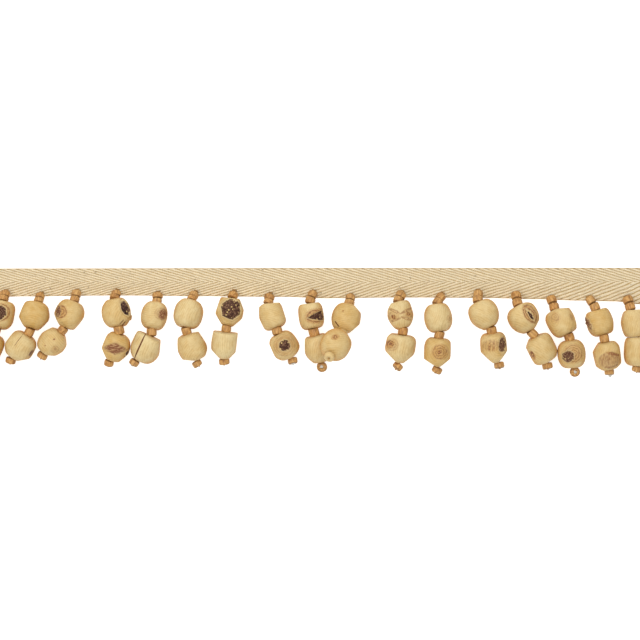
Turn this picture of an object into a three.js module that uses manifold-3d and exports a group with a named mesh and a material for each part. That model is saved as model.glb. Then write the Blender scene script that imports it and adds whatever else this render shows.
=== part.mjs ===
// Beaded fringe trim: a cut length of woven tape with seventeen drops sewn along its lower edge,
// lying face up on a flat surface. Each drop is a thread strung with small turned spacer beads and
// two large carved wood beads. Millimetres: +X along the tape, +Y toward its plain edge, +Z up,
// origin in the middle of the tape's back, on the surface.

import * as THREE from 'three';
import { mergeVertices } from 'three/addons/utils/BufferGeometryUtils.js';
import Module from 'manifold-3d';

const wasm = await Module();
wasm.setup();

// Tape
const TAPE_LENGTH = 374;
const TAPE_THICKNESS = 1.2;
const TAPE_STEPS = { along: 44, across: 2 };
const TAPE_UPPER_EDGE = [
  { x: -187, y: 7.7 },
  { x: 0, y: 8.0 },
  { x: 187, y: 8.1 },
];
const TAPE_LOWER_EDGE = [
  { x: -187, y: -7.9 },
  { x: -160, y: -7.4 },
  { x: -108, y: -6.9 },
  { x: -65, y: -7.3 },
  { x: -20, y: -7.7 },
  { x: 5, y: -8.4 },
  { x: 45, y: -8.0 },
  { x: 86, y: -8.2 },
  { x: 119, y: -8.9 },
  { x: 140, y: -9.7 },
  { x: 160, y: -10.1 },
  { x: 173, y: -11.6 },
  { x: 187, y: -12.8 },
];

// Large wood beads: each outline is a superellipse, with one exponent toward the neck (head) and one
// toward the tip (foot). Shallow knife facets are cut in a ring above and below the widest girth.
const BEAD_FORMS = {
  round: { head: 2.2, foot: 2.2 },
  barrel: { head: 3.0, foot: 2.6 },
  drum: { head: 8.0, foot: 1.9 },
  acorn: { head: 4.2, foot: 1.6 },
  pear: { head: 2.4, foot: 1.6 },
  egg: { head: 1.7, foot: 2.8 },
};
const BEAD_SIDES = 12;
const BEAD_RINGS = 6;
const BEAD_END_RADIUS = 2.9;
const BORE_RADIUS = 1.2;
const FACET_COUNT = 6;
const FACET_TILT = 38;
const FACET_DEPTH = 0.02;
const GOLDEN_ANGLE = 2.399963;
const FLAT_SPOT_DEPTH = 0.25;
const FLOOR_BLOCK = 40;

// Thread, spacer beads and the tack that sews each thread to the tape
const THREAD_WIDTH = 0.7;
const THREAD_TAIL = 0.6;
const SPACER_SIDES = 8;
const SPACER_LENGTH = 3.3;
const SPACER_RADIUS = 2.6;
const SPACER_RIM_RADIUS = 1.7;
const NECK_SPACERS = 2;
const NECK_HEIGHT = 4.32;
const TACK = { width: 2.2, length: 1.8, thickness: 0.5, reach: 1.6 };
const CLEARANCE = 0.38;

// Slopes of the strung pieces against the surface, in degrees, positive where the tip end is higher
const NECK_SLOPE = 25;
const NECK_PASSES = 6;
const UPPER_RISE = 16;
const LOWER_RISE = -14;
const TIP_RISE = -15;

// One row a drop, from left to right. x and y are the bead's middle; lean is the turn of its axis in
// plan, positive where its tip end points to +X; rise is its slope where it isn't the usual one.
// neck and tip are the leans of the spacers above and below, neckLength the length of string that each
// spacer above takes, tipRise the slope of the one below where it isn't the usual one, tipShift how far
// that one sits beside the bead's axis, toward +X, necks the number of spacers above, and mid is false
// where no spacer parts the two beads. height is the middle of a bead that rides on its neighbour.
const UPPER_BEADS = [
  { x: -172.8, y: -17.3, width: 15.7, length: 15.0, lean: -12, form: 'barrel', neck: -8, neckLength: 3.0 },
  {
    x: -154.2, y: -17.8, width: 16.5, length: 14.8, lean: -14, form: 'round',
    neck: -14, neckLength: 2.75, rise: 20,
  },
  { x: -135.4, y: -17.3, width: 15.9, length: 14.9, lean: -20, form: 'round', neck: -11, neckLength: 3.3 },
  {
    x: -110.0, y: -16.4, width: 15.7, length: 15.2, lean: 8, form: 'round',
    neck: -13, neckLength: 2.45, rise: 20,
  },
  {
    x: -89.6, y: -17.9, width: 14.2, length: 14.6, lean: -10, form: 'round',
    neck: -5, neckLength: 2.7, rise: 19,
  },
  {
    x: -71.1, y: -16.9, width: 15.7, length: 15.2, lean: -11, form: 'round',
    neck: -26, neckLength: 2.55, rise: 20,
  },
  {
    x: -48.9, y: -15.7, width: 15.6, length: 15.5, lean: -12, form: 'pear',
    neck: -12, neckLength: 3.3, necks: 1, rise: 18,
  },
  {
    x: -25.9, y: -18.0, width: 14.3, length: 14.2, lean: 20, form: 'barrel',
    neck: -14, neckLength: 2.7, rise: 19,
  },
  { x: -4.8, y: -18.1, width: 13.8, length: 14.1, lean: 8, form: 'barrel', neck: -20, neckLength: 3.5 },
  {
    x: 14.2, y: -19.3, width: 15.9, length: 15.2, lean: -11, form: 'round',
    neck: -12, neckLength: 2.85, rise: 25,
  },
  { x: 43.4, y: -17.7, width: 14.3, length: 14.4, lean: 14, form: 'pear', neck: -26, neckLength: 3.2 },
  { x: 63.8, y: -19.2, width: 15.0, length: 15.0, lean: 8, form: 'round', neck: -32, neckLength: 3.5 },
  { x: 88.3, y: -17.4, width: 16.2, length: 15.2, lean: 27, form: 'pear', neck: -10, neckLength: 3.4 },
  { x: 109.8, y: -19.4, width: 17.0, length: 15.2, lean: 24, form: 'pear', neck: 8, neckLength: 4.0 },
  { x: 130.0, y: -21.3, width: 15.4, length: 14.8, lean: 29, form: 'barrel', neck: 13, neckLength: 4.0 },
  { x: 151.2, y: -21.5, width: 14.3, length: 14.2, lean: 15, form: 'barrel', neck: 29, neckLength: 4.1 },
  { x: 169.9, y: -21.9, width: 14.8, length: 14.5, lean: 14, form: 'acorn', neck: 14, neckLength: 3.8 },
];
const LOWER_BEADS = [
  { x: -178.6, y: -34.5, width: 15.0, length: 14.2, lean: -22, form: 'barrel', tip: -20 },
  { x: -161.7, y: -34.4, width: 16.5, length: 14.9, lean: -35, form: 'round', tip: -14, rise: -15 },
  { x: -144.7, y: -32.3, width: 15.4, length: 14.3, lean: -42, form: 'barrel', tip: -27, tipShift: 0.8 },
  {
    x: -110.3, y: -34.85, width: 15.1, length: 15.0, lean: -19, form: 'round',
    tip: -6, tipShift: -0.8, rise: -16,
  },
  {
    x: -94.0, y: -35.6, width: 16.4, length: 15.0, lean: -25, form: 'drum',
    tip: -40, tipShift: -2.2, rise: -10,
  },
  {
    x: -69.2, y: -34.7, width: 15.7, length: 14.8, lean: 21, form: 'barrel',
    tip: 25, tipShift: -0.75, rise: -16,
  },
  {
    x: -51.5, y: -33.7, width: 13.6, length: 14.6, lean: -6, form: 'drum',
    tip: 0, tipShift: 0.6, rise: -20,
  },
  {
    x: -19.3, y: -34.1, width: 15.4, length: 14.5, lean: 29, form: 'round',
    tip: 12, rise: -15, tipRise: 15,
  },
  { x: -1.1, y: -35.8, width: 15.1, length: 14.8, lean: 12, form: 'acorn', tip: 10, tipRise: 55 },
  {
    x: 8.4, y: -33.5, width: 16.3, length: 15.0, lean: -28, form: 'barrel', tip: -24,
    rise: 40, tipRise: 60, height: 20.2,
  },
  { x: 43.3, y: -35.7, width: 16.4, length: 15.2, lean: -8, form: 'acorn', tip: -33 },
  { x: 63.4, y: -37.5, width: 15.0, length: 15.2, lean: -6, form: 'acorn', tip: -30, tipShift: 0.8 },
  {
    x: 93.7, y: -35.1, width: 14.6, length: 16.0, lean: 6, form: 'acorn', tip: 15, tipShift: 1.9,
    rise: -18, tipRise: 30,
  },
  {
    x: 119.6, y: -35.9, width: 15.7, length: 15.2, lean: 26, form: 'barrel',
    tip: 16, tipShift: -0.75, tipRise: 20,
  },
  {
    x: 135.9, y: -38.5, width: 15.3, length: 14.8, lean: 7, form: 'round',
    tip: 12, tipShift: 0.75, tipRise: 50,
  },
  { x: 155.0, y: -39.4, width: 15.4, length: 15.0, lean: 10, form: 'acorn', tip: 5 },
  { x: 171.7, y: -37.5, width: 15.1, length: 14.2, lean: -2, form: 'egg', tip: -5, mid: false },
];

const TAPE_FABRIC = new THREE.MeshStandardMaterial({ color: '#dcc8a0', roughness: 0.95, metalness: 0 });
const BEAD_WOOD = new THREE.MeshStandardMaterial({ color: '#d9bc85', roughness: 0.6, metalness: 0 });
const SPACER_WOOD = new THREE.MeshStandardMaterial({ color: '#c68a4e', roughness: 0.6, metalness: 0 });

// A polyline with one section at each of its points, turned halfway at every bend.
class StringRoute extends THREE.Curve {
  constructor(points) {
    super();
    this.points = points;
  }

  legs() {
    return this.points.length - 1;
  }

  getPointAt(u) {
    return this.points[Math.round(u * this.legs())].clone();
  }

  getTangentAt(u) {
    const index = Math.round(u * this.legs());
    const tangent = new THREE.Vector3();
    if (index > 0) {
      tangent.add(direction(this.points[index - 1], this.points[index]));
    }
    if (index < this.legs()) {
      tangent.add(direction(this.points[index], this.points[index + 1]));
    }
    return tangent.normalize();
  }
}

function direction(from, to) {
  return to.clone().sub(from).normalize();
}

// Unit vector down the string, from its lean in plan and its rise above the surface.
function stringDirection(lean, rise) {
  const turn = THREE.MathUtils.degToRad(lean);
  const slope = THREE.MathUtils.degToRad(rise);
  return new THREE.Vector3(
    Math.cos(slope) * Math.sin(turn),
    -Math.cos(slope) * Math.cos(turn),
    Math.sin(slope),
  );
}

function solidFrom(geometry) {
  const bare = geometry.clone();
  bare.deleteAttribute('normal');
  bare.deleteAttribute('uv');
  const merged = mergeVertices(bare);
  return new wasm.Manifold(new wasm.Mesh({
    numProp: 3,
    vertProperties: new Float32Array(merged.attributes.position.array),
    triVerts: new Uint32Array(merged.index.array),
  }));
}

function geometryFrom(solid) {
  const { vertProperties, triVerts } = solid.getMesh();
  const geometry = new THREE.BufferGeometry();
  geometry.setAttribute('position', new THREE.BufferAttribute(vertProperties, 3));
  geometry.setIndex(new THREE.BufferAttribute(triVerts, 1));
  geometry.computeVertexNormals();
  return geometry;
}

function namedMesh(name, geometry, material) {
  const mesh = new THREE.Mesh(geometry, material);
  mesh.name = name;
  return mesh;
}

// Height of an edge at x: an eased curve from each row of its table to the next.
function edgeAt(rows, x) {
  const next = Math.max(1, rows.findIndex((row) => row.x >= x));
  const [from, to] = [rows[next - 1], rows[next]];
  return THREE.MathUtils.lerp(from.y, to.y, THREE.MathUtils.smoothstep(x, from.x, to.x));
}

// The tape is one flat sheet, a gridded box of unit width stretched between its two edges.
function makeTape() {
  const { along, across } = TAPE_STEPS;
  const sheet = new THREE.BoxGeometry(TAPE_LENGTH, 1, TAPE_THICKNESS, along, across, 1);
  const positions = sheet.attributes.position;
  for (let index = 0; index < positions.count; index += 1) {
    const x = positions.getX(index);
    const share = positions.getY(index) + 0.5;
    const y = THREE.MathUtils.lerp(edgeAt(TAPE_LOWER_EDGE, x), edgeAt(TAPE_UPPER_EDGE, x), share);
    positions.setY(index, y);
  }
  sheet.translate(0, 0, TAPE_THICKNESS / 2);
  return namedMesh('tape', sheet, TAPE_FABRIC);
}

// Radius of a bead at a height along its axis, from -1 at the foot to 1 at the head.
function beadRadius({ width, form }, height) {
  const power = height > 0 ? BEAD_FORMS[form].head : BEAD_FORMS[form].foot;
  const swell = (1 - Math.abs(height) ** power) ** (1 / power);
  return BEAD_END_RADIUS + (width / 2 - BEAD_END_RADIUS) * swell;
}

// A bored bead of revolution about +Y, which points up the string.
function turnBead(bead) {
  const half = bead.length / 2;
  const profile = [new THREE.Vector2(BORE_RADIUS, -half)];
  for (let ring = 0; ring <= BEAD_RINGS; ring += 1) {
    const height = -Math.cos((Math.PI * ring) / BEAD_RINGS);
    profile.push(new THREE.Vector2(beadRadius(bead, height), half * height));
  }
  profile.push(new THREE.Vector2(BORE_RADIUS, half));
  profile.push(profile[0].clone());
  return new THREE.LatheGeometry(profile, BEAD_SIDES);
}

// Presses each facet plane a little into the bead: points outside it move straight onto it. A plane lies a
// share of the bead's own reach in its direction under the farthest point.
function carveFacets(geometry, turn) {
  const positions = geometry.attributes.position;
  const point = new THREE.Vector3();
  for (let facet = 0; facet < FACET_COUNT; facet += 1) {
    const azimuth = turn * GOLDEN_ANGLE + (2 * Math.PI * facet) / FACET_COUNT;
    const tilt = THREE.MathUtils.degToRad(facet % 2 ? FACET_TILT : -FACET_TILT);
    const normal = new THREE.Vector3(
      Math.cos(tilt) * Math.cos(azimuth),
      Math.sin(tilt),
      Math.cos(tilt) * Math.sin(azimuth),
    );
    let reach = 0;
    for (let index = 0; index < positions.count; index += 1) {
      reach = Math.max(reach, point.fromBufferAttribute(positions, index).dot(normal));
    }
    const plane = new THREE.Plane(normal, -reach * (1 - FACET_DEPTH));
    for (let index = 0; index < positions.count; index += 1) {
      point.fromBufferAttribute(positions, index);
      const excess = plane.distanceToPoint(point);
      if (excess > 0) {
        point.addScaledVector(normal, -excess);
        positions.setXYZ(index, point.x, point.y, point.z);
      }
    }
  }
}

// Height of the bead's middle that leaves its lowest point just under the surface.
function restingHeight(geometry, quaternion) {
  const positions = geometry.attributes.position;
  const point = new THREE.Vector3();
  let lowest = Infinity;
  for (let index = 0; index < positions.count; index += 1) {
    point.fromBufferAttribute(positions, index).applyQuaternion(quaternion);
    lowest = Math.min(lowest, point.z);
  }
  return -lowest - FLAT_SPOT_DEPTH;
}

// A carved bead at its place in its drop, with a small flat spot where it rests on the surface.
function makeBead(name, bead, axis, offset, turn) {
  const carved = turnBead(bead);
  carveFacets(carved, turn);
  const mesh = namedMesh(name, carved, BEAD_WOOD);
  mesh.quaternion.setFromUnitVectors(new THREE.Vector3(0, 1, 0), axis.clone().negate());
  mesh.position.set(offset.x, offset.y, bead.height ?? restingHeight(carved, mesh.quaternion));
  mesh.updateMatrix();
  if (bead.height === undefined) {
    const floor = new THREE.BoxGeometry(FLOOR_BLOCK, FLOOR_BLOCK, FLOOR_BLOCK);
    floor.translate(mesh.position.x, mesh.position.y, -FLOOR_BLOCK / 2);
    floor.applyMatrix4(mesh.matrix.clone().invert());
    mesh.geometry = geometryFrom(solidFrom(carved).subtract(solidFrom(floor)));
  }
  return mesh;
}

// The two open ends of a bead's bore, up and down the string.
function boreEnds(mesh, bead, axis) {
  return {
    head: mesh.position.clone().addScaledVector(axis, -bead.length / 2),
    foot: mesh.position.clone().addScaledVector(axis, bead.length / 2),
  };
}

// Gap that keeps a spacer's tilted rim clear of the flat end of its bead.
function rimGap(axis, other) {
  const tilt = axis.angleTo(other);
  return (CLEARANCE + SPACER_RIM_RADIUS * Math.sin(tilt)) / Math.cos(tilt);
}

// A run of equal spacers that touch at their rims, from a start point along an axis.
function makeSpacers(start, axis, length, count) {
  const profile = [new THREE.Vector2(0, 0), new THREE.Vector2(SPACER_RIM_RADIUS, 0)];
  for (let index = 0; index < count; index += 1) {
    profile.push(new THREE.Vector2(SPACER_RADIUS, (index + 0.25) * length));
    profile.push(new THREE.Vector2(SPACER_RADIUS, (index + 0.75) * length));
    profile.push(new THREE.Vector2(SPACER_RIM_RADIUS, (index + 1) * length));
  }
  profile.push(new THREE.Vector2(0, count * length));
  const run = new THREE.LatheGeometry(profile, SPACER_SIDES);
  run.applyQuaternion(new THREE.Quaternion().setFromUnitVectors(new THREE.Vector3(0, 1, 0), axis));
  return run.translate(start.x, start.y, start.z);
}

// The neck leads straight from the upper bead's bore down to the tape, where its last spacer lies.
// Its slope and its gap to the bead depend on each other, so a few passes settle them.
function layNeck(bead, bore, axis) {
  const count = bead.necks ?? NECK_SPACERS;
  const run = count * bead.neckLength;
  const drop = bore.head.z - NECK_HEIGHT;
  let slope = NECK_SLOPE;
  let gap = CLEARANCE;
  let length = bead.neckLength;
  for (let pass = 0; pass < NECK_PASSES; pass += 1) {
    gap = rimGap(axis, stringDirection(bead.neck, slope));
    length = (run - gap) / count;
    slope = THREE.MathUtils.radToDeg(Math.asin(drop / (run - length / 2)));
  }
  const up = stringDirection(bead.neck, slope).negate();
  const start = bore.head.clone().addScaledVector(up, gap);
  const end = bore.head.clone().addScaledVector(up, run);
  const plan = stringDirection(bead.neck, 0).negate();
  const root = end.clone().addScaledVector(up, -length / 2).addScaledVector(plan, TACK.reach);
  root.z = TAPE_THICKNESS + CLEARANCE + TACK.thickness / 2;
  return { end, root, spacers: makeSpacers(start, up, length, count) };
}

// The middle spacer lies on the line from one bore to the next, halfway between its gaps to the two beads.
function layMiddle(bores, axes) {
  const axis = direction(bores.upper.foot, bores.lower.head);
  const above = rimGap(axis, axes.upper);
  const below = rimGap(axis, axes.lower);
  const room = bores.upper.foot.distanceTo(bores.lower.head) - above - below;
  const length = Math.min(SPACER_LENGTH, room);
  const start = bores.upper.foot.clone().addScaledVector(axis, above + (room - length) / 2);
  const end = start.clone().addScaledVector(axis, length);
  return { route: [start, end], spacers: [makeSpacers(start, axis, length, 1)] };
}

// The tip spacer hangs on past the lower bead, at whatever angle it tipped to, and the thread ends in a
// short tail. Its middle lies as far out as its tipped rim needs, on the bead's axis or a little beside it.
function layTip(bead, bore, axis) {
  const along = stringDirection(bead.tip, bead.tipRise ?? TIP_RISE);
  const tilt = along.angleTo(axis);
  const half = SPACER_LENGTH / 2;
  const rimReach = half * Math.cos(tilt) + SPACER_RIM_RADIUS * Math.sin(tilt);
  const sideReach = (half / 2) * Math.cos(tilt) + SPACER_RADIUS * Math.sin(tilt);
  const reach = CLEARANCE + Math.max(rimReach, sideReach);
  const beside = stringDirection(bead.lean + 90, 0);
  const middle = bore.foot.clone().addScaledVector(axis, reach).addScaledVector(beside, bead.tipShift ?? 0);
  const start = middle.clone().addScaledVector(along, -half);
  const end = middle.clone().addScaledVector(along, half + THREAD_TAIL);
  return { route: [middle, end], spacers: makeSpacers(start, along, SPACER_LENGTH, 1) };
}

// One thread with the spacers strung on it and the tack that holds it on the tape.
function makeString(name, upper, lower, bores, axes) {
  const neck = layNeck(upper, bores.upper, axes.upper);
  const middle = lower.mid === false ? { route: [], spacers: [] } : layMiddle(bores, axes);
  const tip = layTip(lower, bores.lower, axes.lower);
  const half = THREAD_WIDTH / 2;
  const section = new THREE.Shape([
    new THREE.Vector2(-half, -half),
    new THREE.Vector2(half, -half),
    new THREE.Vector2(half, half),
    new THREE.Vector2(-half, half),
  ]);
  const route = new StringRoute([
    neck.root, neck.end, bores.upper.head, bores.upper.foot, ...middle.route,
    bores.lower.head, bores.lower.foot, ...tip.route,
  ]);
  const thread = new THREE.ExtrudeGeometry(section, { steps: route.legs(), extrudePath: route });
  const tack = new THREE.BoxGeometry(TACK.width, TACK.length, TACK.thickness);
  tack.translate(neck.root.x, neck.root.y, neck.root.z);
  const pieces = [tack, neck.spacers, ...middle.spacers, tip.spacers];
  const whole = pieces.reduce((solid, piece) => solid.add(solidFrom(piece)), solidFrom(thread));
  return namedMesh(name, geometryFrom(whole), SPACER_WOOD);
}

// A drop stands at its upper bead's place on the surface.
function makeDrop(index) {
  const upper = UPPER_BEADS[index];
  const lower = LOWER_BEADS[index];
  const number = String(index + 1).padStart(2, '0');
  const axes = {
    upper: stringDirection(upper.lean, upper.rise ?? UPPER_RISE),
    lower: stringDirection(lower.lean, lower.rise ?? LOWER_RISE),
  };
  const below = new THREE.Vector2(lower.x - upper.x, lower.y - upper.y);
  const upperBead = makeBead(`bead_${number}_upper`, upper, axes.upper, new THREE.Vector2(), 2 * index);
  const lowerBead = makeBead(`bead_${number}_lower`, lower, axes.lower, below, 2 * index + 1);
  const bores = {
    upper: boreEnds(upperBead, upper, axes.upper),
    lower: boreEnds(lowerBead, lower, axes.lower),
  };
  const drop = new THREE.Group();
  drop.position.set(upper.x, upper.y, 0);
  drop.add(makeString(`string_${number}`, upper, lower, bores, axes), upperBead, lowerBead);
  return drop;
}

const trim = new THREE.Group();
trim.name = 'beaded_fringe_trim';
trim.add(makeTape(), ...UPPER_BEADS.map((_, index) => makeDrop(index)));

export default trim;
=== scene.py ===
"""Beaded fringe trim: a cut length of herringbone tape with seventeen drops of carved wood beads.

The trim lies face up on a pale table and is seen from straight above. Lengths in this file are
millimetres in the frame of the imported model: +X along the tape, +Y toward its plain edge, +Z up, and
the origin in the middle of the tape's back.
"""

import logging
import math
from collections.abc import Callable
from dataclasses import dataclass, field
from enum import Enum, IntEnum
from functools import partial

import bpy
import numpy as np
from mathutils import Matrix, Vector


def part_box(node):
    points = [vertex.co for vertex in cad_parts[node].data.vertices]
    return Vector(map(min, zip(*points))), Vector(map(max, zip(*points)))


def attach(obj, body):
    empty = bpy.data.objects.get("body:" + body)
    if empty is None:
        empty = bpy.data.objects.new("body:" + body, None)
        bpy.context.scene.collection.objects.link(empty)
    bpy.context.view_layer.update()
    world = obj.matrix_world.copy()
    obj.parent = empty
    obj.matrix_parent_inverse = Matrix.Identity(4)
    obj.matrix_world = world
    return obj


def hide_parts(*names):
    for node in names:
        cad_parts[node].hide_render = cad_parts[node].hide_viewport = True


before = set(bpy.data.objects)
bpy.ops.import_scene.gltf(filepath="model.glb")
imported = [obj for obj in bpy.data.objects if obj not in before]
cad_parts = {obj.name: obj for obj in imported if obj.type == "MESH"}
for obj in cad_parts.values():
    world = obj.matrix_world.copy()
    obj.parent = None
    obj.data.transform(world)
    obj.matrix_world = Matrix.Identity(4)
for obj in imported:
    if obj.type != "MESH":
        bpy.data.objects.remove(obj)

MM = 0.001
BODY = "root"
FAR = 9.0  # stands for no mark nearby, in millimetres
TINY = 1e-6  # keeps a length that is divided by above zero
LOG = logging.getLogger("beaded_fringe_trim")
Numbers = tuple[float, ...]


class Form(Enum):
    """Outline of a carved bead: superellipse exponents toward the neck (head) and the tip (foot)."""

    ROUND = (2.2, 2.2)
    BARREL = (3.0, 2.6)
    DRUM = (8.0, 1.9)
    ACORN = (4.2, 1.6)
    PEAR = (2.4, 1.6)


class Kind(Enum):
    """What a mark in the wood is: its thickness of bark, how far that is worn, and its red-brown stain."""

    BARK = (9.0, 0.0, 0.0)
    CORK = (9.0, 0.12, 0.0)
    RIND = (9.0, 0.3, 0.0)
    OLD_BARK = (9.0, 0.5, 0.0)
    WORN = (9.0, 0.85, 0.0)
    FADED = (0.2, 1.0, 0.0)
    KNOT = (0.0, 0.0, 0.95)
    STAIN = (0.0, 0.0, 0.8)
    RINGED = (0.0, 0.0, 0.58)
    FAINT = (0.0, 0.0, 0.38)
    CRACK = (0.0, 0.0, 0.0)
    BUMP = (0.0, 0.0, 0.1)


class Seed(IntEnum):
    """First seed of each kind of random draw, to which the number of the piece is added."""

    WARP = 11
    FLOATS = 31
    LUMPS = 100
    SPACERS = 500
    FLATS = 700
    GLUE = 900
    BARK = 2000
    GRAIN = 3000


@dataclass(frozen=True)
class Mark:
    """A knot, bark patch or crack on the upper side of a bead, placed in plan.

    Attributes:
        kind: What the mark is.
        at: Middle of the mark from the bead's middle, seen from above.
        size: Half length and half width of the mark.
        turn: Degrees from +X to the mark's length.
        depth: How far the mark is cut in, or stands out where it is negative.
        corners: Number of corners of its outline, the first at its length's end; 0 for an ellipse.
    """

    kind: Kind
    at: tuple[float, float]
    size: tuple[float, float]
    turn: float = 0.0
    depth: float = 0.05
    corners: int = 0


@dataclass(frozen=True)
class BeadRow:
    """One carved bead as it lies: its place, size, pose and what was carved or grown in it.

    Attributes:
        x: Middle of the bead along the tape.
        y: Middle of the bead across the tape.
        width: Diameter at its girth.
        length: Length along the string.
        lean: Turn of its axis in plan, positive where its tip end points to +X.
        form: Outline of the bead.
        rise: Slope of its axis, positive where its tip end is higher.
        height: Middle of a bead that rides on its neighbour, clear of the table.
        marks: Knots, bark and cracks on its upper side.
        cuts: Knife flats seen from above, each a direction in degrees and its distance from the middle.
        pith: Azimuth and elevation in degrees of the branch that the bead was cut from.
        tone: 0 for pale sapwood to 1 for honey-coloured heartwood.
    """

    x: float
    y: float
    width: float
    length: float
    lean: float
    form: Form
    rise: float | None = None
    height: float | None = None
    marks: tuple[Mark, ...] = ()
    cuts: tuple[tuple[float, float], ...] = ()
    pith: tuple[float, float] = (0.0, 8.0)
    tone: float = 0.35


@dataclass(frozen=True)
class DropRow:
    """One drop: its two beads and how its spacers lie.

    Attributes:
        upper: The bead next to the tape.
        lower: The bead below it.
        neck: Lean of the spacers between the tape and the upper bead.
        tip: Lean of the spacer below the lower bead.
        tip_rise: Slope of that spacer, positive where its end is higher.
        tip_shift: How far that spacer sits beside the bead's axis, toward +X.
        neck_length: Length of string that each spacer at the neck takes.
        necks: Number of spacers at the neck.
        middle: False where no spacer parts the two beads.
        glued: True where a drop of glue shows at the tip.
        pale: True where the spacers at the middle and the tip are of the beads' pale wood.
    """

    upper: BeadRow
    lower: BeadRow
    neck: float
    tip: float
    tip_rise: float = -7.0
    tip_shift: float = 0.0
    neck_length: float = 3.3
    necks: int = 2
    middle: bool = True
    glued: bool = False
    pale: bool = False


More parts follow.
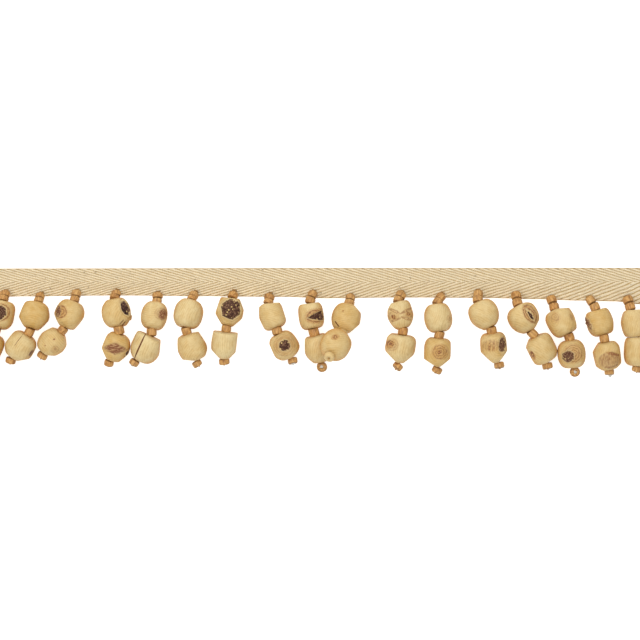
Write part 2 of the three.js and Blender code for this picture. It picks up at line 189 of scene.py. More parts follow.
DROPS = (
    DropRow(
        BeadRow(-172.8, -17.3, 15.7, 15.0, -12, Form.BARREL, pith=(60, 80), tone=0.45, marks=(
            Mark(Kind.STAIN, (1.2, 1.2), (5.4, 5.2)),
            Mark(Kind.CORK, (1.0, 1.2), (4.1, 3.6), turn=90, depth=0.4, corners=6))),
        BeadRow(-178.6, -34.5, 15.0, 14.2, -22, Form.BARREL, tone=0.8),
        neck=-8, tip=-20, neck_length=3.0),
    DropRow(
        BeadRow(-154.2, -17.8, 16.5, 14.8, -14, Form.ROUND, rise=10, pith=(-8, 5), tone=0.6,
                cuts=((209, 7.5), (-48, 7.4), (8, 8.0), (157, 7.4))),
        BeadRow(-161.7, -34.4, 16.5, 14.9, -35, Form.ROUND, rise=-8, tone=0.2, pith=(62, 8),
                cuts=((143, 7.5), (-27, 7.65), (-80, 7.6)), marks=(
            Mark(Kind.CRACK, (-0.25, 3.2), (4.0, 0.14), turn=56, depth=0.3),
            Mark(Kind.OLD_BARK, (6.2, -3.9), (2.2, 0.7), turn=58, depth=0.4))),
        neck=-14, tip=-14, neck_length=2.75),
    DropRow(
        BeadRow(-135.4, -17.3, 15.9, 14.9, -20, Form.ROUND, pith=(8, 10), tone=0.45,
                cuts=((207, 7.1), (-39, 7.2)), marks=(
            Mark(Kind.STAIN, (-4.0, 1.5), (3.9, 3.9)),
            Mark(Kind.OLD_BARK, (-5.6, 1.8), (3.0, 1.6), turn=85, depth=0.3))),
        BeadRow(-144.7, -32.3, 14.9, 14.3, -42, Form.ROUND, tone=0.3, pith=(-50, 8),
                cuts=((117, 7.2), (-62, 7.3), (-95, 7.2), (10, 7.4)), marks=(
            Mark(Kind.FAINT, (2.1, -3.8), (2.4, 1.9), turn=35, depth=0.15),
            Mark(Kind.KNOT, (1.8, 1.7), (0.55, 0.45), depth=0.1),
            Mark(Kind.KNOT, (-3.1, -1.7), (0.45, 0.45), depth=0.1))),
        neck=-11, tip=-27, tip_shift=0.8),
    DropRow(
        BeadRow(-110.0, -16.4, 15.7, 15.2, 8, Form.ROUND, rise=10, tone=0.4, pith=(75, 12), marks=(
            Mark(Kind.BARK, (5.1, 2.8), (3.9, 1.9), turn=110, depth=0.5),
            Mark(Kind.BUMP, (6.7, -2.4), (1.9, 1.6), depth=-0.7),
            Mark(Kind.CRACK, (3.4, -5.0), (1.8, 0.22), turn=48, depth=0.3),
            Mark(Kind.CRACK, (4.4, -5.8), (1.7, 0.22), turn=48, depth=0.3))),
        BeadRow(-110.3, -34.85, 15.1, 15.0, -19, Form.ROUND, rise=-8, tone=0.55, pith=(-15, 15),
                cuts=((157, 6.9), (205, 7.1), (-49, 7.3)), marks=(
            Mark(Kind.WORN, (0.0, -0.8), (6.6, 3.3), turn=-6, depth=0.15, corners=4),
            Mark(Kind.BARK, (6.6, -3.3), (1.4, 0.7), turn=62, depth=0.3))),
        neck=-13, tip=-6, tip_shift=-0.8, neck_length=2.45),
    DropRow(
        BeadRow(-89.6, -17.9, 14.2, 14.6, -10, Form.ROUND, rise=10, tone=0.25, pith=(10, 35), marks=(
            Mark(Kind.FAINT, (3.7, 1.1), (3.3, 3.3)),
            Mark(Kind.WORN, (5.0, 0.6), (3.0, 2.1), turn=80, depth=0.15))),
        BeadRow(-94.2, -35.6, 16.4, 15.0, -25, Form.DRUM, rise=-5, tone=0.12, pith=(64, 5),
                cuts=((65, 7.5), (-3, 7.6)), marks=(
            Mark(Kind.CRACK, (-2.6, 1.3), (8.4, 0.4), turn=65, depth=0.3),)),
        neck=-5, tip=-40, tip_shift=-2.2, neck_length=2.7, glued=True),
    DropRow(
        BeadRow(-71.1, -16.9, 15.7, 15.2, -11, Form.ROUND, rise=10, tone=0.12, pith=(80, 14)),
        BeadRow(-69.2, -34.7, 15.7, 14.8, 21, Form.BARREL, rise=-8, tone=0.3, pith=(60, 25),
                cuts=((99, 7.5), (180, 7.6), (34, 7.5), (-95, 7.4))),
        neck=-26, tip=42, tip_shift=-0.75, neck_length=2.55),
    DropRow(
        BeadRow(-48.9, -15.7, 15.6, 15.5, -12, Form.PEAR, rise=9, tone=0.4, pith=(60, 80),
                cuts=((162, 7.0), (83, 7.4), (21, 7.5), (-50, 7.4), (211, 7.1)), marks=(
            Mark(Kind.CORK, (1.0, 1.3), (6.0, 5.8), turn=95, depth=0.5, corners=6),)),
        BeadRow(-51.5, -33.7, 15.0, 14.6, -6, Form.DRUM, rise=-10, tone=0.04, pith=(85, 5),
                cuts=((84, 7.3), (169, 7.4), (-7, 6.3), (-45, 7.0), (223, 6.95))),
        neck=-12, tip=0, tip_shift=0.6, necks=1),
    DropRow(
        BeadRow(-25.9, -18.0, 14.3, 14.2, 20, Form.BARREL, rise=10, tone=0.3, pith=(-12, 10),
                cuts=((94, 6.9), (17, 6.7), (180, 7.05), (206, 6.95))),
        BeadRow(-19.3, -34.1, 15.4, 14.5, 29, Form.ROUND, rise=-8, tone=0.35, pith=(110, 87),
                cuts=((204, 7.1),), marks=(
            Mark(Kind.FAINT, (0.2, 0.2), (6.2, 6.2), depth=0.0),
            Mark(Kind.CORK, (0.2, 0.2), (3.1, 3.2), depth=0.25, corners=7))),
        neck=-14, tip=12, tip_rise=15, neck_length=2.7, glued=True),
    DropRow(
        BeadRow(-4.8, -18.1, 13.8, 14.1, 8, Form.BARREL, tone=0.25, pith=(80, 10),
                cuts=((98, 6.9),), marks=(
            Mark(Kind.STAIN, (2.6, 0.0), (6.2, 4.2), turn=10),
            Mark(Kind.CORK, (3.6, -0.1), (5.8, 3.2), turn=190, depth=0.9, corners=3))),
        BeadRow(-1.1, -35.8, 15.1, 14.8, 12, Form.ACORN, tone=0.3, pith=(80, 10),
                cuts=((180, 7.1), (143, 8.8))),
        neck=-20, tip=10, tip_rise=76, neck_length=3.5, glued=True),
    DropRow(
        BeadRow(14.2, -19.3, 15.9, 15.2, -11, Form.ROUND, rise=12, tone=0.5, pith=(15, 20),
                cuts=((42, 7.8), (-50, 7.2), (-6, 7.9)), marks=(
            Mark(Kind.CRACK, (-5.1, -3.1), (2.2, 0.3), turn=-53, depth=0.3),
            Mark(Kind.KNOT, (-1.9, 4.1), (0.55, 0.4), depth=0.1))),
        BeadRow(8.4, -33.5, 16.3, 15.0, -28, Form.ROUND, rise=40, height=20.2,
                tone=0.38, pith=(5, 20), marks=(
            Mark(Kind.STAIN, (-0.3, 4.3), (2.3, 1.6), turn=20, depth=0.1),)),
        neck=-12, tip=-24, tip_rise=44, neck_length=2.85, pale=True),
    DropRow(
        BeadRow(43.4, -17.7, 14.3, 14.4, 14, Form.ACORN, tone=0.2, pith=(95, 30),
                cuts=((178, 6.95), (155, 7.4)), marks=(
            Mark(Kind.FAINT, (-4.0, -0.4), (3.4, 2.7), depth=0.0),
            Mark(Kind.FAINT, (4.2, 0.6), (3.2, 2.6), depth=0.0),
            Mark(Kind.RINGED, (-3.2, 2.2), (4.0, 0.9), turn=-25),
            Mark(Kind.RINGED, (3.0, 2.4), (3.6, 0.9), turn=28),
            Mark(Kind.RINGED, (-2.6, -2.4), (3.2, 0.8), turn=22),
            Mark(Kind.RINGED, (2.8, -1.7), (3.2, 0.8), turn=-18),
            Mark(Kind.KNOT, (-4.0, -1.1), (1.5, 1.3), depth=0.2),
            Mark(Kind.KNOT, (4.3, 0.5), (1.6, 1.5), depth=0.2))),
        BeadRow(43.3, -35.7, 16.4, 15.2, -8, Form.ACORN, tone=0.2, pith=(80, 10),
                cuts=((82, 7.9), (224, 6.7), (-51, 7.2)), marks=(
            Mark(Kind.FAINT, (-4.7, 2.2), (3.8, 3.6)),
            Mark(Kind.KNOT, (-5.6, 2.5), (2.1, 2.3), depth=0.25))),
        neck=-26, tip=-36, tip_rise=8, neck_length=3.2),
    DropRow(
        BeadRow(63.8, -19.2, 15.0, 15.0, 8, Form.ROUND, tone=0.12, pith=(95, 40), marks=(
            Mark(Kind.FAINT, (5.9, -0.4), (1.6, 2.2)),)),
        BeadRow(63.4, -37.5, 15.0, 15.2, -6, Form.BARREL, tone=0.55, pith=(20, 80),
                cuts=((180, 7.2), (0, 7.2), (84, 7.8), (236, 7.1), (-52, 7.2)), marks=(
            Mark(Kind.RINGED, (1.3, 0.1), (4.8, 4.5)),
            Mark(Kind.KNOT, (0.6, -0.1), (1.2, 1.4), depth=0.12))),
        neck=-32, tip=-30, tip_shift=0.8, neck_length=3.5),
    DropRow(
        BeadRow(88.7, -17.4, 16.2, 15.2, 27, Form.PEAR, tone=0.25, pith=(-25, 12)),
        BeadRow(93.9, -35.1, 14.6, 16.0, 6, Form.BARREL, rise=-9, tone=0.4, pith=(-20, 66),
                cuts=((-37, 6.8), (227, 6.6), (96, 8.2)), marks=(
            Mark(Kind.FAINT, (-1.8, 1.2), (5.0, 3.4)),
            Mark(Kind.STAIN, (-2.9, 0.4), (2.4, 0.5), turn=85),
            Mark(Kind.STAIN, (-0.6, 0.6), (2.6, 0.5), turn=88),
            Mark(Kind.RIND, (4.4, 1.7), (4.3, 2.0), turn=84, depth=0.6))),
        neck=-5, tip=15, tip_rise=8, tip_shift=1.9, neck_length=3.4),
    DropRow(
        BeadRow(110.1, -19.4, 17.0, 15.2, 24, Form.PEAR, tone=0.3, pith=(-20, 12),
                cuts=((-31, 7.5),), marks=(
            Mark(Kind.STAIN, (2.7, 2.5), (6.0, 3.6), turn=-58, depth=0.1),
            Mark(Kind.BARK, (3.0, 1.8), (2.7, 0.85), turn=-58, depth=0.4))),
        BeadRow(119.6, -35.9, 15.7, 15.2, 26, Form.BARREL, tone=0.35, pith=(-28, 15),
                cuts=((207, 7.1), (116, 7.9), (160, 8.1)), marks=(
            Mark(Kind.KNOT, (-5.3, -3.3), (3.0, 1.1), turn=-60, depth=0.3),)),
        neck=8, tip=10, tip_rise=6, tip_shift=-1.0, neck_length=4.0),
    DropRow(
        BeadRow(130.4, -21.3, 15.4, 14.8, 29, Form.BARREL, tone=0.4, pith=(150, 60),
                cuts=((94, 7.4), (14, 7.4)), marks=(
            Mark(Kind.FAINT, (-4.0, 2.6), (3.1, 3.1), depth=0.1),
            Mark(Kind.FAINT, (5.0, 2.5), (2.6, 1.2), turn=-65))),
        BeadRow(135.9, -38.5, 15.3, 14.8, 7, Form.ROUND, tone=0.4, pith=(215, 80), marks=(
            Mark(Kind.RINGED, (0.3, 0.2), (5.8, 5.6)),
            Mark(Kind.RIND, (-2.5, -1.3), (3.4, 3.3), turn=30, depth=0.35, corners=6))),
        neck=13, tip=12, tip_rise=74, tip_shift=0.75, neck_length=4.0, glued=True),
    DropRow(
        BeadRow(151.2, -21.5, 14.3, 14.2, 15, Form.BARREL, tone=0.5, pith=(5, 20),
                cuts=((105, 6.9),), marks=(
            Mark(Kind.OLD_BARK, (-6.7, -0.1), (3.9, 0.9), turn=116, depth=-0.5),)),
        BeadRow(155.0, -39.4, 15.4, 15.0, 10, Form.BARREL, tone=0.45, pith=(90, 10),
                cuts=((95, 7.6), (149, 7.4), (194, 7.0), (7, 7.2), (-45, 8.4), (237, 8.2)), marks=(
            Mark(Kind.STAIN, (2.6, 0.9), (4.6, 0.9), turn=-12),
            Mark(Kind.FADED, (0.9, -2.5), (5.9, 4.4), turn=4, depth=0.15))),
        neck=29, tip=5, neck_length=4.1, glued=True),
    DropRow(
        BeadRow(169.9, -22.2, 14.8, 15.6, 14, Form.BARREL, tone=0.3, pith=(85, 10),
                cuts=((93, 7.5), (165, 7.2), (-90, 7.22))),
        BeadRow(171.7, -36.9, 15.1, 16.2, -2, Form.BARREL, tone=0.35, pith=(85, 10),
                cuts=((90, 7.36),)),
        neck=14, tip=-5, neck_length=3.8, middle=False),
)


def linear(code: str) -> Numbers:
    """Turns an sRGB hex code, #rrggbb, into a linear colour with full alpha."""
    parts = [int(code[start:start + 2], 16) / 255 for start in (1, 3, 5)]
    return *(p / 12.92 if p <= 0.04045 else ((p + 0.055) / 1.055) ** 2.4 for p in parts), 1.0


def smoothstep(low: float, high: float, value: np.ndarray) -> np.ndarray:
    """Eased step from 0 at low to 1 at high by a cubic curve; it falls where low is above high."""
    share = np.clip((value - low) / (high - low), 0.0, 1.0)
    return share * share * (3.0 - 2.0 * share)


def ripple(points: np.ndarray, wavelength: float, seed: int, waves: int = 9) -> np.ndarray:
    """Smooth random field: the scaled sum of plane sine waves in seeded directions.

    Args:
        points: Places, with three numbers in the last axis.
        wavelength: Mean length of the waves.
        seed: Seed of their directions, lengths and phases.
        waves: Number of waves.

    Returns:
        Values of about -1 to 1, one a place.
    """
    shortest, longest = 0.7, 1.4  # shares of the mean length
    random = np.random.default_rng(seed)
    ahead = random.normal(size=(3, waves))
    ahead /= np.linalg.norm(ahead, axis=0)
    pace = 2.0 * np.pi / (wavelength * random.uniform(shortest, longest, waves))
    phase = random.uniform(0.0, 2.0 * np.pi, waves)
    return np.sin(points @ (ahead * pace) + phase).sum(-1) / math.sqrt(waves)


def heading(azimuth: float, elevation: float = 0.0) -> np.ndarray:
    """Unit vector at an azimuth from +X and an elevation above the table, both in degrees."""
    turn, slope = math.radians(azimuth), math.radians(elevation)
    return np.array([math.cos(slope) * math.cos(turn), math.cos(slope) * math.sin(turn), math.sin(slope)])


def string_direction(lean: float, rise: float = 0.0) -> np.ndarray:
    """Unit vector down a string, by its lean in plan toward +X and its slope, both in degrees."""
    return heading(lean - 90.0, rise)


def turn_from_y(axis: np.ndarray) -> np.ndarray:
    """Rotation that carries +Y onto an axis by the shortest way: I + K + K squared / (1 + cosine).

    Args:
        axis: Unit vector.

    Returns:
        Rotation matrix.
    """
    side = np.cross([0.0, 1.0, 0.0], axis)
    skew = np.array([[0, -side[2], side[1]], [side[2], 0, -side[0]], [-side[1], side[0], 0]])
    return np.eye(3) + skew + skew @ skew / (1.0 + axis[1])


def loft_quads(rings: int, sides: int, closed: bool, copies: int = 1) -> np.ndarray:
    """Faces of equal surfaces laid one after another, each of closed rings joined one to the next.

    Args:
        rings: Number of rings in a surface.
        sides: Number of points in a ring, an even number where the ends are capped.
        closed: True where the last ring joins the first; otherwise both ends get a cap of quads.
        copies: Number of surfaces.

    Returns:
        Rows of four point numbers.
    """
    row = np.arange(rings if closed else rings - 1)[:, None]
    side = np.arange(sides)[None, :]
    after, beside = (row + 1) % rings, (side + 1) % sides
    corners = [row * sides + side, after * sides + side, after * sides + beside, row * sides + beside]
    quads = np.stack([np.broadcast_to(c, (row.size, sides)) for c in corners], -1).reshape(-1, 4)
    if not closed:
        step = np.arange(sides // 2 - 1)
        cap = np.stack([step, step + 1, sides - 2 - step, sides - 1 - step], -1)
        quads = np.concatenate([quads, cap, cap[:, ::-1] + (rings - 1) * sides])
    return (quads[None] + rings * sides * np.arange(copies)[:, None, None]).reshape(-1, 4)


def tube_rings(path: np.ndarray, radius: float, sides: int) -> np.ndarray:
    """Rings of a round tube: a circle carried along a path, square to its running direction.

    Args:
        path: Points of the path in its second last axis.
        radius: Radius of the tube.
        sides: Number of points in a ring.

    Returns:
        Points of the rings, with the ring's points in the second last axis.
    """
    ahead = np.gradient(path, axis=-2)
    ahead /= np.linalg.norm(ahead, axis=-1, keepdims=True)
    across = np.cross(ahead, [0.0, 0.0, 1.0])
    across /= np.maximum(np.linalg.norm(across, axis=-1, keepdims=True), TINY)
    above = np.cross(across, ahead)
    angle = (np.arange(sides) + 0.5) * 2.0 * np.pi / sides
    circle = np.cos(angle)[:, None] * across[..., None, :] + np.sin(angle)[:, None] * above[..., None, :]
    return path[..., None, :] + radius * circle


def add_piece(name: str, points: np.ndarray, quads: np.ndarray, material: bpy.types.Material,
              fields: dict[str, np.ndarray], node: str | None) -> bpy.types.Object:
    """Makes a mesh object from arrays, with its faces turned outward by the sign of its volume.

    Args:
        name: Name of the piece.
        points: Its points in millimetres.
        quads: Its faces.
        material: Its material.
        fields: Values at its points by attribute name, one or three numbers each.
        node: The node that the piece stands for, or None where it goes with another piece.

    Returns:
        The object, riding on the trim.
    """
    points = points.reshape(-1, 3) * MM
    a, b, c, d = (points[quads[:, corner]] for corner in range(4))
    volume = np.einsum("ij,ij->", a, np.cross(b, c)) + np.einsum("ij,ij->", a, np.cross(c, d))
    quads = quads if volume > 0 else quads[:, ::-1]
    mesh = bpy.data.meshes.new(name)
    mesh.vertices.add(len(points))
    mesh.vertices.foreach_set("co", points.astype(np.float32).ravel())
    mesh.loops.add(quads.size)
    mesh.loops.foreach_set("vertex_index", quads.astype(np.int32).ravel())
    mesh.polygons.add(len(quads))
    mesh.polygons.foreach_set("loop_start", np.arange(0, quads.size, 4, dtype=np.int32))
    mesh.polygons.foreach_set("use_smooth", np.ones(len(quads), dtype=bool))
    mesh.update(calc_edges=True)
    mesh.validate()
    for key, values in fields.items():
        vector = values.size == points.size
        layer = mesh.attributes.new(key, "FLOAT_VECTOR" if vector else "FLOAT", "POINT")
        layer.data.foreach_set("vector" if vector else "value", values.astype(np.float32).ravel())
    mesh.materials.append(material)
    piece = bpy.data.objects.new(name, mesh)
    bpy.context.scene.collection.objects.link(piece)
    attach(piece, BODY)
    if node:
        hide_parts(node)
    LOG.info("%s: %d faces", name, len(quads))
    return piece


def fill_inputs(node: bpy.types.Node, inputs: dict[str | int, object]) -> None:
    """Sets a node's inputs or links them to the outputs of other nodes.

    Args:
        node: The node.
        inputs: A value, a colour as #rrggbb or an output, by the input's name or number.
    """
    for key, value in inputs.items():
        if isinstance(value, bpy.types.NodeSocket):
            node.id_data.links.new(value, node.inputs[key])
        else:
            node.inputs[key].default_value = linear(value) if isinstance(value, str) else value


def add_node(tree: bpy.types.NodeTree, kind: str, inputs: dict | tuple = (), out: str | int = 0,
             **settings: object) -> bpy.types.NodeSocket:
    """Adds a shader node, sets its properties and fills its inputs.

    Args:
        tree: Node tree of the material.
        kind: Type of the node, without its prefix.
        inputs: Values and outputs for its inputs, in their order or by name or number.
        out: Name or number of the output that is wanted.
        **settings: Property values by name.

    Returns:
        That output.
    """
    node = tree.nodes.new(f"ShaderNode{kind}")
    for key, value in settings.items():
        setattr(node, key, value)
    fill_inputs(node, inputs if isinstance(inputs, dict) else dict(enumerate(inputs)))
    return node.outputs[out]


NodeMaker = Callable[..., bpy.types.NodeSocket]
VALUE_A, VALUE_B, MIX_A, MIX_B = 2, 3, 6, 7  # inputs of a mix node, for values and for colours
MIX_COLOUR = {"data_type": "RGBA", "out": 2}
WAVE_LENGTH = 0.314  # length of one wave of the wave texture at scale 1, in its own units


@dataclass(frozen=True)
class Finish:
    """What the finishes share: one surface shader with a gloss of its own."""

    name: str = ""
    roughness: float = 0.9
    ior: float = 1.45

    def material(self) -> bpy.types.Material:
        """Builds the material, its shader filled by the finish's own nodes.

        Returns:
            The material.
        """
        material = bpy.data.materials.new(self.name)
        material.use_nodes = True
        inputs = self.surface(partial(add_node, material.node_tree))
        shader = material.node_tree.nodes["Principled BSDF"]
        fill_inputs(shader, {"Roughness": self.roughness, "IOR": self.ior} | inputs)
        return material

    def surface(self, node: NodeMaker) -> dict[str, object]:
        """Makes the finish's nodes.

        Args:
            node: Adds a node to the material and returns its output.

        Returns:
            Values and outputs for the shader's inputs, by name.
        """
        raise NotImplementedError


@dataclass(frozen=True)
class CarvedWood(Finish):
    """Pale orchard wood, knife-carved and rubbed smooth.

    The eye gets a dull satin sheen, thin growth lines and fibres that follow the branch, honey-coloured
    heartwood in some beads, painted shade that browns the girth where a bead's side turns from the light,
    amber stains with red-brown rings round the knots, rough dark bark in hollows with a pale lip and a thin
    brown scar round them, worn patches and dark cracks.
    """

    name: str = "carved_pale_wood"
    roughness: float = 0.62
    bark_roughness: float = 0.9
    sapwood: str = "#dcc693"
    honey: str = "#c4953e"
    # Painted shade: the colour that each bead's girth is browned toward, where its side turns from the
    # light.
    girth_shade_colour: str = "#c98a2a"
    latewood: str = "#9c743a"
    amber: str = "#ae7636"
    knot_ring: str = "#774325"
    bark: str = "#30170f"
    bark_strand: str = "#74523f"
    speck: str = "#d8b878"
    worn: str = "#b48b62"
    worn_fibre: str = "#875538"
    lip: str = "#dfc890"
    scar: str = "#8d6034"
    groove: str = "#5e2c02"
    ring_spacing: float = 1.05
    ring_waver: float = 3.0
    ring_waver_scale: float = 0.8
    knot_spacing: float = 1.3
    knot_waver: float = 2.2
    bark_waver: float = 1.2
    crack_waver: float = 0.2
    crack_taper: float = 4.0
    ripe_spread: float = 1.1
    girth_shade_depth: float = 0.75
    stain_depth: float = 0.7
    worn_grain: float = 0.2
    ring_rise: float = 0.4
    bark_rise: float = 4.0
    relief: float = 0.14
    bump_strength: float = 0.7
    # Noises: length along the branch, width across it, detail and roughness. The fibres and the bark's
    # strands and specks are drawn coarser than the real ones, so that they show.
    fibre_noise: Numbers = (6.0, 0.33, 3.0, 0.65)
    cloud_noise: Numbers = (5.0, 5.0, 5.0, 0.6)
    ragged_noise: Numbers = (1.3, 1.3, 2.0, 0.5)
    strand_noise: Numbers = (3.75, 0.75, 3.0, 0.5)
    speck_spacing: float = 2.0
    # Ranges: values from the first number to the second become shares from the third to the fourth.
    ridge_range: Numbers = (0.6, 1.0, 0.0, 0.28)
    zone_range: Numbers = (0.42, 0.6, 0.1, 1.0)
    streak_range: Numbers = (0.45, 0.75, 0.0, 0.35)
    knot_range: Numbers = (-0.2, 0.9, 0.0, 0.95)
    scar_range: Numbers = (1.6, 1.25, 0.0, 0.45)
    lip_range: Numbers = (1.2, 0.95, 0.0, 0.6)
    bark_range: Numbers = (0.72, 0.48, 0.0, 1.0)
    worn_range: Numbers = (1.1, -0.1, 0.0, 1.0)
    strand_range: Numbers = (0.48, 0.62, 0.0, 1.0)
    speck_range: Numbers = (0.27, 0.17, 0.0, 1.0)
    crack_range: Numbers = (-0.05, 0.06, 0.0, 1.0)

    def surface(self, node: NodeMaker) -> dict[str, object]:
        """Lays the wood's colours over each other by the beads' attributes.

        Args:
            node: Adds a node to the material and returns its output.

        Returns:
            Values and outputs for the shader's inputs, by name.
        """
        branch, marks, crack = (node("Attribute", out="Vector", attribute_name=name)
                                for name in ("branch", "marks", "crack"))
        tone, girth_shade_mask, ringed = (node("Attribute", out="Fac", attribute_name=name)
                               for name in ("tone", "girth_shade_mask", "ringed"))
        bark_gap, worn, stain = node("SeparateXYZ", (marks,)).node.outputs
        run, off, half = node("SeparateXYZ", (crack,)).node.outputs

        noises = (self.fibre_noise, self.cloud_noise, self.ragged_noise, self.strand_noise)
        stretched = [node("VectorMath", (branch, (1.0 / length, 1.0 / width, 1.0 / width)),
                          operation="MULTIPLY") for length, width, _, _ in noises]
        fibre, cloud, ragged, fleck = (
            node("TexNoise", {"Vector": place, "Scale": 1.0, "Detail": detail, "Roughness": roughness})
            for place, (_, _, detail, roughness) in zip(stretched, noises))
        growth = node("TexWave", {"Vector": branch, "Scale": WAVE_LENGTH / self.ring_spacing,
                                  "Distortion": self.ring_waver, "Detail Scale": self.ring_waver_scale},
                      out="Fac", wave_type="RINGS", rings_direction="X")
        spot = node("TexVoronoi", {"Vector": branch, "Scale": 1.0 / self.speck_spacing}, out="Distance")

        ripeness = node("Math", (cloud, self.ripe_spread, -self.ripe_spread / 2), operation="MULTIPLY_ADD")
        ripe = node("Math", (tone, ripeness), operation="ADD", use_clamp=True)
        shaken = node("Math", (ragged, self.knot_waver, ringed), operation="MULTIPLY_ADD")
        angle = node("Math", (shaken, 2.0 * math.pi / self.knot_spacing), operation="MULTIPLY")
        swing = node("Math", (angle,), operation="SINE")
        gap = node("Math", (ragged, self.bark_waver, bark_gap), operation="MULTIPLY_ADD")
        wander = node("Math", (ragged, self.crack_waver, off), operation="MULTIPLY_ADD")
        aside = node("Math", (wander, self.crack_waver / 2), operation="SUBTRACT")
        spread = node("Math", (aside,), operation="ABSOLUTE")
        ending = node("Math", (run, self.crack_taper), operation="POWER")
        taper = node("Math", (1.0, ending), operation="SUBTRACT")
        room = node("Math", (taper, half), operation="MULTIPLY")
        depth = node("Math", (room, spread), operation="SUBTRACT")
        ridge, zone, streak, band, scarred, lipped, sharp, blurred, strand, spotted, split = (
            node("MapRange", (value, *limits)) for value, limits in (
                (growth, self.ridge_range), (cloud, self.zone_range), (fibre, self.streak_range),
                (swing, self.knot_range), (gap, self.scar_range), (gap, self.lip_range),
                (gap, self.bark_range), (gap, self.worn_range), (fleck, self.strand_range),
                (spot, self.speck_range), (depth, self.crack_range)))
        fresh = node("Math", (1.0, worn), operation="SUBTRACT")
        grainy = node("Math", (strand, -self.worn_grain, 1.0), operation="MULTIPLY_ADD", use_clamp=True)
        # Painted shade: the girth of each bead, where its side turns from the light, is browned by the
        # second of these shares.
        line, girth_shade, soaked, stained, scar, lip, speckle, faded = (
            node("Math", pair, operation="MULTIPLY") for pair in (
                (ridge, zone), (girth_shade_mask, self.girth_shade_depth), (stain, self.stain_depth), (band, stain),
                (scarred, fresh), (lipped, fresh), (spotted, fresh), (blurred, grainy)))
        barked = node("Mix", {0: worn, VALUE_A: sharp, VALUE_B: faded})

        bottom = node("Mix", {0: worn, MIX_A: self.bark, MIX_B: self.worn_fibre}, **MIX_COLOUR)
        top = node("Mix", {0: worn, MIX_A: self.bark_strand, MIX_B: self.worn}, **MIX_COLOUR)
        strands = node("Mix", {0: strand, MIX_A: bottom, MIX_B: top}, **MIX_COLOUR)
        bark = node("Mix", {0: speckle, MIX_A: strands, MIX_B: self.speck}, **MIX_COLOUR)
        colour = self.sapwood
        for share, layer in (
                (ripe, self.honey), (girth_shade, self.girth_shade_colour), (line, self.latewood), (streak, self.latewood),
                (soaked, self.amber), (stained, self.knot_ring), (scar, self.scar), (lip, self.lip),
                (barked, bark), (split, self.groove)):
            colour = node("Mix", {0: share, MIX_A: colour, MIX_B: layer}, **MIX_COLOUR)

        wood_rise = node("Math", (growth, self.ring_rise, fibre), operation="MULTIPLY_ADD")
        rough = node("Math", (fleck, barked), operation="MULTIPLY")
        rise = node("Math", (rough, self.bark_rise, wood_rise), operation="MULTIPLY_ADD")
        bump = node("Bump", {"Height": rise, "Distance": self.relief * MM, "Strength": self.bump_strength})
        dull = node("MapRange", (barked, 0.0, 1.0, self.roughness, self.bark_roughness))
        return {"Base Color": colour, "Roughness": dull, "Normal": bump}


@dataclass(frozen=True)
class TurnedWood(Finish):
    """Yellow-brown wood, turned on a small lathe.

    The eye gets a warm dull body with light and dark streaks along the bore, drawn coarser than the real
    ones so that they show, painted shade that browns the rims of spacers lying on their side, and the odd
    spacer of the beads' pale wood.
    """

    name: str = "turned_brown_wood"
    roughness: float = 0.6
    body: str = "#b58144"
    light: str = "#d6a964"
    streak: str = "#774820"
    # Painted shade: the colour that the rims are browned toward.
    rim: str = "#4f2f16"
    pale: str = "#d8bd85"
    streak_width: float = 0.75
    streak_length: float = 3.0
    streak_detail: float = 3.0
    light_range: Numbers = (0.5, 0.28, 0.0, 0.9)
    streak_range: Numbers = (0.5, 0.72, 0.0, 0.9)
    rim_shade_depth: float = 0.85
    relief: float = 0.1
    bump_strength: float = 0.7

    def surface(self, node: NodeMaker) -> dict[str, object]:
        """Lays the wood's colours over each other by the spacers' attributes.

        Args:
            node: Adds a node to the material and returns its output.

        Returns:
            Values and outputs for the shader's inputs, by name.
        """
        grain = node("Attribute", out="Vector", attribute_name="grain")
        rim, paleness = (node("Attribute", out="Fac", attribute_name=name) for name in ("rim", "paleness"))
        scale = (1.0 / self.streak_width, 1.0 / self.streak_length, 1.0 / self.streak_width)
        place = node("VectorMath", (grain, scale), operation="MULTIPLY")
        fibre = node("TexNoise", {"Vector": place, "Scale": 1.0, "Detail": self.streak_detail})
        light, streak = (node("MapRange", (fibre, *limits))
                         for limits in (self.light_range, self.streak_range))
        # Painted shade: the rims are browned by the attribute rim, which is strongest where a spacer lies on
        # its side.
        rim_shade = node("Math", (rim, self.rim_shade_depth), operation="MULTIPLY")
        colour = self.body
        for share, layer in ((light, self.light), (streak, self.streak), (paleness, self.pale),
                             (rim_shade, self.rim)):
            colour = node("Mix", {0: share, MIX_A: colour, MIX_B: layer}, **MIX_COLOUR)
        bump = node("Bump", {"Height": fibre, "Distance": self.relief * MM, "Strength": self.bump_strength})
        return {"Base Color": colour, "Normal": bump}


